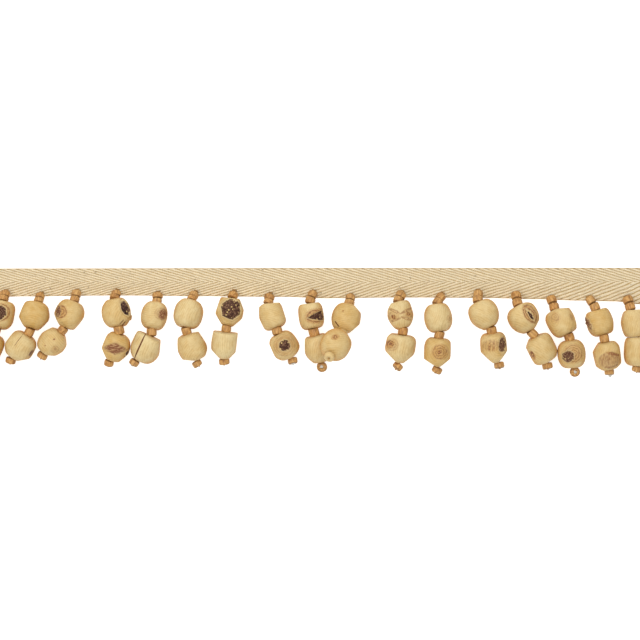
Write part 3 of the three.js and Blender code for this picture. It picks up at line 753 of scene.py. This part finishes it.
@dataclass(frozen=True)
class CottonYarn(Finish):
    """Unbleached cotton yarn, spun and woven.

    The eye gets a matt cream that painted shade darkens where a yarn dives, a slight difference from yarn to
    yarn, slow changes of tone along each, a few brown seed specks and the slant of its twist.
    """

    name: str = "cream_cotton_warp"
    roughness: float = 0.95
    cream: str = "#f2e5c9"
    tan: str = "#bd9e68"
    seed_speck: str = "#7d5f38"
    sheen: float = 0.1
    cloud_size: float = 2.5
    cloud_detail: float = 3.0
    cloud_depth: float = 0.4
    speck_spacing: float = 1.6
    speck_range: Numbers = (0.8, 0.86, 0.0, 0.6)
    twist: float = 0.9
    twist_waver: float = 1.0
    relief: float = 0.05
    bump_strength: float = 0.5

    def surface(self, node: NodeMaker) -> dict[str, object]:
        """Shades the yarns by Object coordinates and their attribute yarn.

        Args:
            node: Adds a node to the material and returns its output.

        Returns:
            Values and outputs for the shader's inputs, by name.
        """
        place = node("TexCoord", out="Object")
        yarn = node("Attribute", out="Fac", attribute_name="yarn")
        cloud, seed = (node("TexNoise", {"Vector": place, "Scale": 1.0 / (size * MM), "Detail": detail})
                       for size, detail in ((self.cloud_size, self.cloud_detail), (self.speck_spacing, 0.0)))
        # The attribute yarn carries each yarn's own tone and the painted shade where it dives; the cloud
        # adds slow changes of tone.
        shade = node("Math", (cloud, self.cloud_depth, yarn), operation="MULTIPLY_ADD", use_clamp=True)
        seeded = node("MapRange", (seed, *self.speck_range))
        colour = self.cream
        for share, layer in ((shade, self.tan), (seeded, self.seed_speck)):
            colour = node("Mix", {0: share, MIX_A: colour, MIX_B: layer}, **MIX_COLOUR)
        twist = node("TexWave", {"Vector": place, "Scale": WAVE_LENGTH / (self.twist * MM),
                                 "Distortion": self.twist_waver}, out="Fac", bands_direction="DIAGONAL")
        bump = node("Bump", {"Height": twist, "Distance": self.relief * MM, "Strength": self.bump_strength})
        return {"Base Color": colour, "Normal": bump, "Sheen Weight": self.sheen}


@dataclass(frozen=True)
class Clouded(Finish):
    """A plain body with soft clouds of a second colour."""

    body: str = "#dcd8cf"
    cloudy: str = "#a9a397"
    cloud_size: float = 0.6

    def surface(self, node: NodeMaker) -> dict[str, object]:
        """Clouds the body by a soft noise.

        Args:
            node: Adds a node to the material and returns its output.

        Returns:
            Values and outputs for the shader's inputs, by name.
        """
        place = node("TexCoord", out="Object")
        cloud = node("TexNoise", {"Vector": place, "Scale": 1.0 / (self.cloud_size * MM)})
        return {"Base Color": node("Mix", {0: cloud, MIX_A: self.body, MIX_B: self.cloudy}, **MIX_COLOUR)}


@dataclass(frozen=True)
class DriedGlue(Clouded):
    """Clear craft glue, dried in drops: the eye gets a cloudy white bead with a wet gloss."""

    name: str = "dried_glue"
    roughness: float = 0.25
    ior: float = 1.48


@dataclass(frozen=True)
class PaleTable(Clouded):
    """Opal table board lit from below: the eye gets an even white that leaves hardly a shadow."""

    name: str = "lit_opal_board"
    body: str = "#d2d1cf"
    cloudy: str = "#cfcecb"
    cloud_size: float = 40.0
    light: str = "#ffffff"
    glow: float = 0.72

    def surface(self, node: NodeMaker) -> dict[str, object]:
        """Adds an even glow to a very faint mottle."""
        return super().surface(node) | {"Emission Color": self.light, "Emission Strength": self.glow}


@dataclass
class Tape:
    """The herringbone tape: a weft sheet with warp yarns woven over more than half of each repeat.

    Each half of the tape starts its yarns a quarter of a repeat further on from its edge to the middle, so
    the floats step into slanted ridges that meet in points on the middle line.
    """

    length: float = 374.0
    width: float = 16.0
    upper_edge: tuple[tuple[float, float], ...] = ((-187, 7.7), (0, 8.0), (187, 8.1))
    lower_edge: tuple[tuple[float, float], ...] = (
        (-187, -7.9), (-160, -7.4), (-108, -6.9), (-65, -7.3), (-20, -7.7), (5, -8.4), (45, -8.0),
        (86, -8.2), (119, -8.9), (140, -9.7), (160, -10.1), (173, -11.6), (187, -12.8))
    middle: float = 0.3
    repeats: int = 78
    picks: int = 4
    steps: int = 8
    half_yarns: int = 22
    yarn_sides: int = 4
    yarn_rise: float = 0.22
    yarn_spread: float = 0.56
    yarn_hues: Numbers = (-0.2, 0.05)
    float_height: float = 0.95
    dive_height: float = 0.25
    float_share: float = 0.45
    float_steepness: float = 2.4
    # How far the painted shade darkens a yarn where it dives.
    dip_shade: float = 0.5
    weft_low: float = 0.3
    weft_high: float = 0.6
    weft_swell: float = 0.06
    weft_inset: float = 0.004
    weft_across: int = 8
    weft_steps: int = 16
    weft_shade: float = 0.1
    fray: float = 0.5
    # Waves: their length along the tape and how many times shorter they are across it.
    unevenness: float = 0.5
    uneven_waves: Numbers = (14.0, 2.0)
    wander: float = 0.03
    wander_waves: Numbers = (6.0, 3.0)
    pieces: list[bpy.types.Object] = field(default_factory=list)

    def edge(self, rows: tuple[tuple[float, float], ...], x: np.ndarray) -> np.ndarray:
        """Heights of an edge at places along the tape, eased from each of its points to the next.

        Args:
            rows: Points of the edge from left to right.
            x: Places along the tape.

        Returns:
            Heights across the tape.
        """
        places, heights = np.array(rows, float).T
        index = np.clip(np.searchsorted(places, x, side="right"), 1, len(places) - 1)
        share = smoothstep(0.0, 1.0, (x - places[index - 1]) / (places[index] - places[index - 1]))
        return heights[index - 1] + (heights[index] - heights[index - 1]) * share

    def weft(self, material: bpy.types.Material) -> None:
        """Builds the weft sheet, which stands for the tape: a slab that swells in a cosine at each pick.

        Args:
            material: Material of the weft.
        """
        x = np.linspace(-self.length / 2, self.length / 2, self.repeats * self.weft_steps + 1)
        share = np.linspace(self.weft_inset, 1.0 - self.weft_inset, self.weft_across)
        share = np.concatenate([share, share[::-1]])
        low, high = self.edge(self.lower_edge, x), self.edge(self.upper_edge, x)
        y = low[:, None] + (high - low)[:, None] * share
        pick = self.length / self.repeats / self.picks
        swell = self.weft_swell * np.cos(2.0 * np.pi * (x - x[0]) / pick + np.pi)
        front = np.arange(share.size) < self.weft_across
        z = np.where(front, self.weft_high + swell[:, None], self.weft_low - swell[:, None])
        points = np.stack([np.broadcast_to(x[:, None], y.shape), y, z], -1)
        piece = add_piece("tape_weft", points, loft_quads(x.size, share.size, False), material,
                          {"yarn": np.full(y.size, self.weft_shade)}, "tape")

    def warp(self, name: str, half: int, material: bpy.types.Material) -> None:
        """Builds one half's warp yarns: four-sided strands, a corner up, that float and dive.

        The height of a yarn is a cosine lifted by the float share and squashed by a hyperbolic tangent, so
        it stays on the front for about two thirds of each repeat. Painted shade darkens it where it dives.

        Args:
            name: Name of the piece.
            half: 0 for the half at the plain edge and 1 for the half at the drops.
            material: Material of the yarns.
        """
        random = np.random.default_rng(Seed.WARP + half)
        x = np.linspace(-self.length / 2, self.length / 2, self.repeats * self.steps + 1)
        inward = np.arange(self.half_yarns)[:, None]
        edge = self.edge((self.upper_edge, self.lower_edge)[half], x)
        pitch = (self.middle - edge) / self.half_yarns
        y = edge + pitch * (inward + 0.5)
        turns = (x - x[0]) * self.repeats / self.length - inward / self.picks + half / 2
        wavelength, shorter = self.uneven_waves
        place = np.stack([np.broadcast_to(x, y.shape), shorter * y, 0.0 * y], -1)
        phase = 2.0 * np.pi * turns + self.unevenness * ripple(place, wavelength, Seed.FLOATS + half)
        lift = np.tanh(self.float_steepness * (np.cos(phase) + self.float_share))
        z = self.dive_height + (self.float_height - self.dive_height) * (1.0 + lift) / 2
        path = np.stack([np.broadcast_to(x, y.shape), y, z], -1)
        path[:, 0, 0] -= random.uniform(0.0, self.fray, self.half_yarns)
        path[:, -1, 0] += random.uniform(0.0, self.fray, self.half_yarns)
        wavelength, shorter = self.wander_waves
        path[..., 1] += self.wander * ripple(path * [1.0, shorter, 1.0], wavelength, Seed.WARP + half)
        angle = np.arange(self.yarn_sides) * 2.0 * np.pi / self.yarn_sides
        rings = np.repeat(path[:, :, None, :], self.yarn_sides, axis=2)
        rings[..., 1] += self.yarn_spread * np.abs(pitch)[:, None] * np.cos(angle)
        rings[..., 2] += self.yarn_rise * np.sin(angle)
        # Painted shade: the attribute yarn rises, and the yarn darkens toward tan, where it dives under the
        # weft.
        hue = random.uniform(*self.yarn_hues, self.half_yarns)
        # The outermost yarn of each half is darkened by as much as a full dive, a thin brown line along the
        # edge.
        hue[0] += self.dip_shade
        shade = hue[:, None] + self.dip_shade * (1.0 - lift) / 2.0
        shade = np.broadcast_to(shade[:, :, None], rings.shape[:3])
        quads = loft_quads(x.size, self.yarn_sides, False, self.half_yarns)
        self.pieces.append(add_piece(name, rings, quads, material, {"yarn": shade}, None))

    def build(self, warp: bpy.types.Material, weft: bpy.types.Material) -> None:
        """Builds the two halves of warp yarns and the weft sheet that they go with.

        Args:
            warp: Material of the warp yarns.
            weft: Material of the weft.
        """
        for half, name in enumerate(("tape_warp_upper", "tape_warp_lower")):
            self.warp(name, half, warp)
        self.weft(weft)


@dataclass
class Bead:
    """One carved bead: a bored superellipse of revolution with knife facets, flats, knots and cracks."""

    name: str
    row: BeadRow
    axis: np.ndarray
    turn: int
    around: int = 96
    along: int = 56
    end_radius: float = 2.9
    bore_radius: float = 0.55
    countersink: float = 0.25
    mouth_radii: Numbers = (0.7, 0.25, 0.0, 0.0)
    mouth_depths: Numbers = (0.05, 0.6, 1.0, 3.0)
    facets: int = 6
    facet_tilt: float = 38.0
    facet_depth: float = 0.02
    golden_angle: float = 137.50775
    flats: int = 12
    flat_depths: Numbers = (0.004, 0.03)
    edge_softness: float = 0.13
    flat_spot: float = 0.25
    crowding: float = 0.35
    lumps: float = 0.012
    lump_length: float = 9.0
    corner_share: float = 0.7
    upper_side: Numbers = (-2.0, 0.5)
    mark_edge: float = 0.25
    stain_edge: Numbers = (1.1, 0.8)
    crack_cover: float = 0.3
    crack_reach: float = 0.6
    bark_lumps: float = 0.3
    bark_lump_length: float = 1.3
    mark_seeds: int = 40
    pith_offset: float = 12.0
    pith_scatter: float = 1.5
    # Painted shade on the girth fades out between these heights, as shares of the half width, toward the top
    # and the foot.
    girth_top: Numbers = (0.7, 0.1)
    girth_foot: Numbers = (-0.8, -0.1)
    middle: np.ndarray = field(default_factory=lambda: np.zeros(3))

    def profile(self) -> tuple[np.ndarray, np.ndarray]:
        """Radius and height of the closed outline: the outer superellipse, then the bore back down.

        Returns:
            Radii and heights along the axis, from the foot up the outside and down the bore.
        """
        half = self.row.length / 2
        head, foot = self.row.form.value
        level = -np.cos(np.linspace(0.0, np.pi, self.along))
        power = np.where(level > 0, head, foot)
        swell = np.clip(1.0 - np.abs(level) ** power, 0.0, 1.0) ** (1.0 / power)
        radius = self.end_radius + (self.row.width / 2 - self.end_radius) * swell
        mouth = np.array(self.mouth_radii) * (self.end_radius - self.bore_radius) + self.bore_radius
        sunk = half - np.array(self.mouth_depths) * self.countersink
        return (np.concatenate([radius, mouth, mouth[::-1]]),
                np.concatenate([half * level, sunk, -sunk[::-1]]))

    def press(self, points: np.ndarray, normal: np.ndarray, reach: float) -> np.ndarray:
        """Moves points that reach past a plane back onto it, by a soft step that rounds the edge."""
        excess = (points @ normal - reach) / self.edge_softness
        return points - (self.edge_softness * np.logaddexp(0.0, excess))[..., None] * normal

    def carve(self, points: np.ndarray) -> np.ndarray:
        """Presses the ring of knife facets and some smaller flats at random into the bead.

        Args:
            points: Points in the bead's own frame, +Y up the string.

        Returns:
            The carved points.
        """
        lump = ripple(points, self.lump_length, Seed.LUMPS + self.turn)[..., None]
        points = points * (1.0 + self.lumps * lump)
        for facet in range(self.facets):
            tilt = self.facet_tilt if facet % 2 else -self.facet_tilt
            azimuth = self.turn * self.golden_angle + 360.0 * facet / self.facets
            normal = heading(azimuth, tilt)[[0, 2, 1]]
            points = self.press(points, normal, (points @ normal).max() * (1.0 - self.facet_depth))
        random = np.random.default_rng(Seed.FLATS + self.turn)
        for ahead in random.normal(size=(self.flats, 3)):
            normal = ahead / np.linalg.norm(ahead)
            depth = random.uniform(*self.flat_depths)
            points = self.press(points, normal, (points @ normal).max() * (1.0 - depth))
        return points

    def mark_frame(self, mark: Mark, points: np.ndarray) -> tuple[np.ndarray, np.ndarray, np.ndarray]:
        """Places points against a mark: along it, across it, and 1 on its outline.

        The outline is an ellipse, or a mean of one and of a polygon with its first corner on the length.

        Args:
            mark: The mark.
            points: Points about the bead's middle.

        Returns:
            Shares of the half length and of the half width, and the outline's share.
        """
        along = heading(mark.turn)[:2]
        off = points[..., :2] - np.array(mark.at)
        u = off @ along / mark.size[0]
        v = off @ np.array([-along[1], along[0]]) / mark.size[1]
        share = np.hypot(u, v)
        if mark.corners:
            sector = 2.0 * np.pi / mark.corners
            polygon = np.cos(np.arctan2(v, u) % sector - sector / 2) / math.cos(sector / 2)
            share = share * (1.0 - self.corner_share + self.corner_share * polygon)
        return u, v, share

    def grow_marks(self, points: np.ndarray, skin: np.ndarray) -> tuple[dict[str, np.ndarray], np.ndarray]:
        """Works out the fields of the bead's marks: distances in plan that hold on its upper side only.

        Args:
            points: Points about the bead's middle.
            skin: True on the outside of the bead.

        Returns:
            The fields marks (distance from bark, wear and stain), crack (share along it, distance across
            it and half width) and ringed (distance from a knot), and the depth that the marks are cut in.
        """
        upward = smoothstep(*self.upper_side, points[..., 2]) * skin
        hidden = FAR * (1.0 - upward)
        bark, ringed, near = (np.full(upward.shape, FAR) for _ in range(3))
        worn, stain, sunk = (np.zeros(upward.shape) for _ in range(3))
        crack = np.stack([near, near, np.zeros(upward.shape)], -1)
        for number, mark in enumerate(self.row.marks):
            u, v, share = self.mark_frame(mark, points)
            half_length, half_width = mark.size
            thickness, wear, tint = mark.kind.value
            gap = (share - 1.0) * min(mark.size) + hidden
            cover = smoothstep(self.mark_edge, -self.mark_edge, gap)
            if mark.kind is Kind.CRACK:
                off = np.abs(v * half_width) + half_length * np.maximum(np.abs(u) - 1.0, 0.0)
                place = np.stack([u + hidden, v * half_width, np.full(u.shape, half_width)], -1)
                crack = np.where((off < near)[..., None], place, crack)
                near = np.minimum(near, off)
                cover = self.crack_cover * smoothstep(self.crack_reach, 0.0, off + hidden)
            elif thickness:
                gap = np.maximum(gap, -thickness)
                worn = np.where(gap < bark, wear, worn)
                bark = np.minimum(bark, gap)
                seed = Seed.BARK + self.mark_seeds * self.turn + number
                cover = cover * (1.0 + self.bark_lumps * ripple(points, self.bark_lump_length, seed))
            else:
                stain = np.maximum(stain, tint * smoothstep(*self.stain_edge, share) * upward)
                ringed = np.minimum(ringed, share * min(mark.size))
            sunk += cover * mark.depth
        return {"marks": np.stack([bark, worn, stain], -1), "crack": crack, "ringed": ringed}, sunk

    def build(self, material: bpy.types.Material) -> bpy.types.Object:
        """Builds the bead at its place, with its marks cut in and their fields for the material.

        Args:
            material: Material of the wood.

        Returns:
            The piece, which stands for the bead's node.
        """
        row = self.row
        radius, height = self.profile()
        turning = turn_from_y(-self.axis)
        skyward = turning.T @ np.array([0.0, 0.0, 1.0])
        even = np.linspace(-np.pi, np.pi, self.around, endpoint=False)
        angle = (math.atan2(skyward[0], skyward[2]) + even - self.crowding * np.sin(even))[:, None]
        points = np.stack([radius * np.sin(angle), height + 0.0 * angle, radius * np.cos(angle)], -1)
        points = self.carve(points) @ turning.T
        for direction, reach in row.cuts:
            points = self.press(points, heading(direction), reach)
        lift = -points[..., 2].min() - self.flat_spot if row.height is None else row.height
        self.middle = np.array([row.x, row.y, lift])

        skin = np.broadcast_to(np.arange(height.size) < self.along, points.shape[:2])
        fields, sunk = self.grow_marks(points, skin)
        outward = points / np.maximum(np.linalg.norm(points, axis=-1, keepdims=True), TINY)
        placed = points - outward * sunk[..., None] + self.middle
        if row.height is None:
            placed[..., 2] = np.maximum(placed[..., 2], 0.0)

        pith = heading(*row.pith)
        random = np.random.default_rng(Seed.GRAIN + self.turn)
        aside = np.array([0.0, self.pith_offset * (1.0 - pith[2] ** 2), 0.0])
        scatter = random.uniform(-self.pith_scatter, self.pith_scatter, 3)
        fields["branch"] = (points @ turn_from_y(pith))[..., [1, 0, 2]] + aside + scatter
        # Painted shade: the mask is 1 round the bead's girth, where its side turns from the overhead light,
        # and 0 on its top and underside.
        level = points[..., 2] / (row.width / 2)
        fields["girth_shade_mask"] = smoothstep(*self.girth_top, level) * smoothstep(*self.girth_foot, level)
        fields["tone"] = np.full(points.shape[:2], row.tone)
        quads = loft_quads(self.around, height.size, True)
        return add_piece(self.name, placed, quads, material, fields, self.name)

    def mouth(self, end: int) -> np.ndarray:
        """Middle of the bore's open end, up the string for -1 and down it for 1."""
        return self.middle + self.axis * (end * self.row.length / 2)


@dataclass
class Drop:
    """One drop: two carved beads, the turned spacers above, between and below them, and the thread."""

    number: int
    row: DropRow
    upper_rise: float = 8.0
    lower_rise: float = -7.0
    clearance: float = 0.38
    spacer_length: float = 3.3
    spacer_radius: float = 2.6
    spacer_rim: float = 1.7
    spacer_bore: float = 0.45
    spacer_sides: int = 28
    spacer_profile: int = 20
    spacer_edge: float = 0.55
    spacer_sizes: Numbers = (0.99, 1.09)
    spacer_oval: float = 0.03
    spacer_tilt: float = 0.12
    spacer_phases: Numbers = (0.0, 6.0)
    spacer_scatter: float = 0.08
    rim_edge: Numbers = (0.84, 0.98)
    rim_outside: Numbers = (0.0, 0.35)
    grain_scatter: float = 9.0
    tints: Numbers = (0.0, 0.15)
    pale_tint: float = 0.9
    seat: float = 0.35
    tip_seat: float = 0.05
    sway: float = 8.0
    neck_height: float = 4.32
    neck_passes: int = 6
    neck_slope: float = 25.0
    root_reach: float = 1.6
    root_height: float = 1.6
    thread_radius: float = 0.36
    thread_sides: int = 8
    thread_steps: int = 8
    thread_shade: float = 0.1
    tail: float = 0.6
    stitches: int = 3
    stitch_step: float = 0.62
    stitch_half: float = 1.05
    stitch_rise: float = 0.7
    stitch_sunk: float = 0.3
    stitch_radius: float = 0.306
    stitch_points: int = 9
    stitch_sides: int = 6
    stitch_shade: float = 0.3
    glue_radius: float = 1.0
    glue_squash: float = 0.75
    glue_shift: float = 0.6
    glue_gap: float = 0.1
    glue_rings: int = 10
    glue_sides: int = 16
    glue_pole: float = 0.12
    glue_lumps: float = 0.18
    glue_lump_length: float = 1.4

    def __post_init__(self) -> None:
        """Names the drop and sets up its two beads, each with its axis."""
        self.label = f"{self.number:02d}"
        self.string = f"string_{self.label}"
        beads = []
        for place, row, rise in (("upper", self.row.upper, self.upper_rise),
                                 ("lower", self.row.lower, self.lower_rise)):
            axis = string_direction(row.lean, rise if row.rise is None else row.rise)
            beads.append(Bead(f"bead_{self.label}_{place}", row, axis, 2 * (self.number - 1) + len(beads)))
        self.upper, self.lower = beads
        self.spacers: list[tuple[np.ndarray, np.ndarray, float, bool]] = []
        self.route: list[np.ndarray] = []

    def rim_gap(self, axis: np.ndarray, other: np.ndarray) -> float:
        """Gap along a spacer's axis that keeps its tilted rim clear of the flat end of the other, a bead."""
        cosine = float(np.clip(axis @ other, -1.0, 1.0))
        return (self.clearance + self.spacer_rim * math.sqrt(1.0 - cosine * cosine)) / cosine

    def lay(self) -> None:
        """Lays the spacers from bead to bead and the thread's route from the tape down to the tip."""
        row, upper, lower = self.row, self.upper, self.lower
        head = upper.mouth(-1)
        slope, run = self.neck_slope, row.necks * row.neck_length
        for _ in range(self.neck_passes):
            gap = self.rim_gap(upper.axis, string_direction(row.neck, slope))
            length = (run - gap) / row.necks
            slope = math.degrees(math.asin((head[2] - self.neck_height) / (run - length / 2)))
        up = -string_direction(row.neck, slope)
        pitch = (run + self.seat) / row.necks
        end = head + up * run
        self.spacers += [(end - up * (index + 0.5) * pitch, up, pitch, False) for index in range(row.necks)]
        root = end - up * length / 2 - string_direction(row.neck) * self.root_reach
        root[2] = self.root_height
        self.route = [root, end, head, upper.mouth(1)]
        if row.middle:
            across = lower.mouth(-1) - upper.mouth(1)
            room = float(np.linalg.norm(across))
            middle = (upper.mouth(1) + lower.mouth(-1)) / 2
            self.spacers.append((middle, across / room, room + 2.0 * self.seat, row.pale))
            LOG.info("drop %s: %.2f mm between its beads", self.label, room)
        along = string_direction(row.tip, row.tip_rise)
        cosine = float(np.clip(along @ lower.axis, -1.0, 1.0))
        sine, half = math.sqrt(1.0 - cosine * cosine), self.spacer_length / 2
        reach = max(half * cosine + self.spacer_rim * sine, half / 2 * cosine + self.spacer_radius * sine)
        beside = string_direction(row.lower.lean + 90.0)
        middle = lower.mouth(1) + lower.axis * (reach - self.tip_seat) + beside * row.tip_shift
        self.spacers.append((middle, along, self.spacer_length, row.pale))
        self.route += [lower.mouth(-1), lower.mouth(1), middle, middle + along * (half + self.tail)]

    def build_spacers(self, material: bpy.types.Material) -> None:
        """Builds the turned spacers: a rounded rectangle swept round the bore, a little out of true.

        Args:
            material: Material of the spacers.
        """
        random = np.random.default_rng(Seed.SPACERS + self.number)
        t = np.linspace(0.0, 2.0 * np.pi, self.spacer_profile, endpoint=False)
        angle = np.linspace(0.0, 2.0 * np.pi, self.spacer_sides, endpoint=False)[:, None]
        outer, inner = self.spacer_radius, self.spacer_bore
        push, rise = (np.sign(wave) * np.abs(wave) ** self.spacer_edge for wave in (np.cos(t), np.sin(t)))
        rim = smoothstep(*self.rim_edge, np.abs(rise)) * smoothstep(*self.rim_outside, push)
        points, grains, rims, tints = [], [], [], []
        for middle, axis, length, pale in self.spacers:
            size = random.uniform(*self.spacer_sizes)
            oval = 1.0 + self.spacer_oval * np.sin(2.0 * angle + random.uniform(*self.spacer_phases))
            radius = ((outer + inner) / 2 + (outer - inner) / 2 * push) * oval * size
            tilt = self.spacer_tilt * np.sin(angle + random.uniform(*self.spacer_phases))
            height = length / 2 * rise + tilt * (push > 0)
            local = np.stack([radius * np.sin(angle), height, radius * np.cos(angle)], -1)
            swayed = axis + random.normal(0.0, math.radians(self.sway) / 2, 3)
            swayed /= np.linalg.norm(swayed)
            scatter = random.normal(0.0, self.spacer_scatter, 3)
            points.append(local @ turn_from_y(-swayed).T + middle + scatter)
            grains.append(local + random.uniform(-self.grain_scatter, self.grain_scatter, 3))
            # Painted shade: the rim is browned in full on a spacer that lies flat, less as it stands on end,
            # and not at all on the pale spacers.
            shaded = (not pale) * math.sqrt(1.0 - axis[2] ** 2)
            rims.append(np.broadcast_to(rim * shaded, radius.shape))
            tints.append(np.full(radius.shape, self.pale_tint if pale else random.uniform(*self.tints)))
        quads = loft_quads(self.spacer_sides, self.spacer_profile, True, len(points))
        fields = {"grain": np.stack(grains), "rim": np.stack(rims), "paleness": np.stack(tints)}
        add_piece(f"spacers_{self.label}", np.stack(points), quads, material, fields,
                  self.string)

    def build_tubes(self, name: str, paths: np.ndarray, radius: float, sides: int, shade: float,
                    material: bpy.types.Material) -> None:
        """Builds a piece of round cotton tubes.

        Args:
            name: Name of the piece, without the drop's number.
            paths: Points of the tubes, one tube a row.
            radius: Radius of a tube.
            sides: Number of points round it.
            shade: Value of the attribute yarn.
            material: Material of the cotton.
        """
        rings = tube_rings(paths, radius, sides)
        quads = loft_quads(paths.shape[1], sides, False, len(paths))
        fields = {"yarn": np.full(rings.shape[:3], shade)}
        add_piece(f"{name}_{self.label}", rings, quads, material, fields, self.string)

    def build_thread(self, material: bpy.types.Material) -> None:
        """Builds the thread, a round tube on straight legs, and three stitches arched over its root.

        Args:
            material: Material of the thread.
        """
        route = np.array(self.route)
        places = np.arange(len(route))
        stations = np.linspace(0.0, places[-1], self.thread_steps * len(route))
        path = np.stack([np.interp(stations, places, part) for part in route.T], -1)
        self.build_tubes("thread", path[None], self.thread_radius, self.thread_sides, self.thread_shade,
                         material)

        run = string_direction(self.row.neck)
        side = np.array([-run[1], run[0], 0.0])
        share = np.linspace(-1.0, 1.0, self.stitch_points)[None, :, None]
        step = self.stitch_step * (np.arange(self.stitches) - (self.stitches - 1) / 2)[:, None, None]
        rise = np.array([0.0, 0.0, 1.0]) * (self.stitch_rise * (1.0 - share ** 2) - self.stitch_sunk)
        paths = route[0] + run * step + side * share * self.stitch_half + rise
        self.build_tubes("stitches", paths, self.stitch_radius, self.stitch_sides, self.stitch_shade,
                         material)

    def build_glue(self, material: bpy.types.Material) -> None:
        """Builds a lumpy drop of glue where the thread leaves the tip spacer: rings of a rippled ball.

        Args:
            material: Material of the glue.
        """
        middle, along, length, _ = self.spacers[-1]
        polar = np.linspace(self.glue_pole, np.pi - self.glue_pole, self.glue_rings)[:, None]
        around = np.linspace(0.0, 2.0 * np.pi, self.glue_sides, endpoint=False)[None, :]
        ball = np.stack([np.sin(polar) * np.cos(around), self.glue_squash * np.cos(polar) + 0.0 * around,
                         np.sin(polar) * np.sin(around)], -1)
        lump = ripple(ball, self.glue_lump_length, Seed.GLUE + self.number)[..., None]
        ball = ball * self.glue_radius * (1.0 + self.glue_lumps * lump)
        beside = string_direction(self.row.tip, self.row.tip_rise + 90.0) * self.glue_shift
        placed = ball @ turn_from_y(-along).T + middle + along * (length / 2 + self.glue_gap) + beside
        quads = loft_quads(self.glue_rings, self.glue_sides, False)
        add_piece(f"glue_{self.label}", placed, quads, material, {}, self.string)

    def build(self, wood: bpy.types.Material, spacer: bpy.types.Material, thread: bpy.types.Material,
              glue: bpy.types.Material) -> None:
        """Builds the drop's pieces and reports how far its beads lie from their solids.

        Args:
            wood: Material of the beads.
            spacer: Material of the spacers.
            thread: Material of the thread and the stitches.
            glue: Material of the glue.
        """
        for bead in (self.upper, self.lower):
            piece = bead.build(wood)
            low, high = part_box(bead.name)
            corners = np.array([corner[:] for corner in piece.bound_box])
            off = np.abs(np.concatenate([corners.min(0) - np.array(low), corners.max(0) - np.array(high)]))
            LOG.info("%s: %.2f mm from its solid's box", bead.name, off.max() / MM)
        self.lay()
        self.build_spacers(spacer)
        self.build_thread(thread)
        if self.row.glued:
            self.build_glue(glue)


@dataclass
class Studio:
    """The pale table, the soft light and the camera straight above the trim."""

    camera_lens: float = 135.0
    camera_sensor: float = 36.0
    camera_reach: float = 20.0
    view_width: float = 345.6
    view_middle: tuple[float, float] = (0.0, -20.25)
    focus_height: float = 8.0
    table_half: float = 2500.0
    table_cells: int = 8
    table_drop: float = 0.02
    softbox_place: Numbers = (-250.0, 300.0, 1600.0)
    softbox_side: float = 2200.0
    softbox_power: float = 37.0
    softbox_colour: str = "#fffefa"
    surround_colour: str = "#ffffff"
    surround_strength: float = 0.35

    def camera(self) -> None:
        """Stands the camera above the trim at the distance that fits the view's width."""
        data = bpy.data.cameras.new("photo_camera")
        data.lens, data.sensor_width, data.clip_end = self.camera_lens, self.camera_sensor, self.camera_reach
        camera = bpy.data.objects.new("photo_camera", data)
        distance = self.view_width * self.camera_lens / self.camera_sensor
        camera.location = np.array([*self.view_middle, self.focus_height + distance]) * MM
        bpy.context.scene.collection.objects.link(camera)
        bpy.context.scene.camera = camera

    def table(self, material: bpy.types.Material) -> None:
        """Builds the table as a flat grid just under the trim.

        Args:
            material: Material of the table.
        """
        cells = self.table_cells
        across = np.linspace(-self.table_half, self.table_half, cells + 1)
        x, y = np.meshgrid(across, across)
        points = np.stack([x, y, np.full(x.shape, -self.table_drop)], -1).reshape(-1, 3) * MM
        corner = (np.arange(cells)[:, None] * (cells + 1) + np.arange(cells)).reshape(-1)
        quads = np.stack([corner, corner + 1, corner + cells + 2, corner + cells + 1], -1)
        mesh = bpy.data.meshes.new("table")
        mesh.from_pydata(points.tolist(), [], quads.tolist())
        mesh.materials.append(material)
        table = bpy.data.objects.new("table", mesh)
        bpy.context.scene.collection.objects.link(table)

    def lights(self) -> None:
        """Lights the trim from a wide softbox overhead, a little to the upper left, in a dim surround."""
        data = bpy.data.lights.new("overhead_softbox", "AREA")
        data.size, data.energy = self.softbox_side * MM, self.softbox_power
        data.color = linear(self.softbox_colour)[:3]
        light = bpy.data.objects.new("overhead_softbox", data)
        light.location = np.array(self.softbox_place) * MM
        light.rotation_mode = "QUATERNION"
        light.rotation_quaternion = light.location.to_track_quat("Z", "Y")
        bpy.context.scene.collection.objects.link(light)
        world = bpy.data.worlds.new("white_surround")
        world.use_nodes = True
        fill_inputs(world.node_tree.nodes["Background"],
                    {"Color": self.surround_colour, "Strength": self.surround_strength})
        bpy.context.scene.world = world
        bpy.context.scene.view_settings.view_transform = "Standard"

    def build(self, board: bpy.types.Material) -> None:
        """Sets the camera, the table and the lights.

        Args:
            board: Material of the table.
        """
        self.camera()
        self.table(board)
        self.lights()


def main() -> None:
    """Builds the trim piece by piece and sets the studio."""
    logging.basicConfig(level=logging.INFO, format="%(message)s")
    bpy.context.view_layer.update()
    Studio().build(PaleTable().material())
    warp = CottonYarn().material()
    # The weft's darker tan is partly its own colour and partly painted shade in the gaps between the warp
    # floats.
    weft = CottonYarn("tan_cotton_weft", cream="#c2a672", tan="#a68a58").material()
    Tape().build(warp, weft)
    wood, spacer, glue = CarvedWood().material(), TurnedWood().material(), DriedGlue().material()
    thread = CottonYarn("waxed_sewing_thread", cream="#b98d52", tan="#8d6534", twist=0.5).material()
    for number, row in enumerate(DROPS, start=1):
        Drop(number, row).build(wood, spacer, thread, glue)


if __name__ == "__main__":
    main()
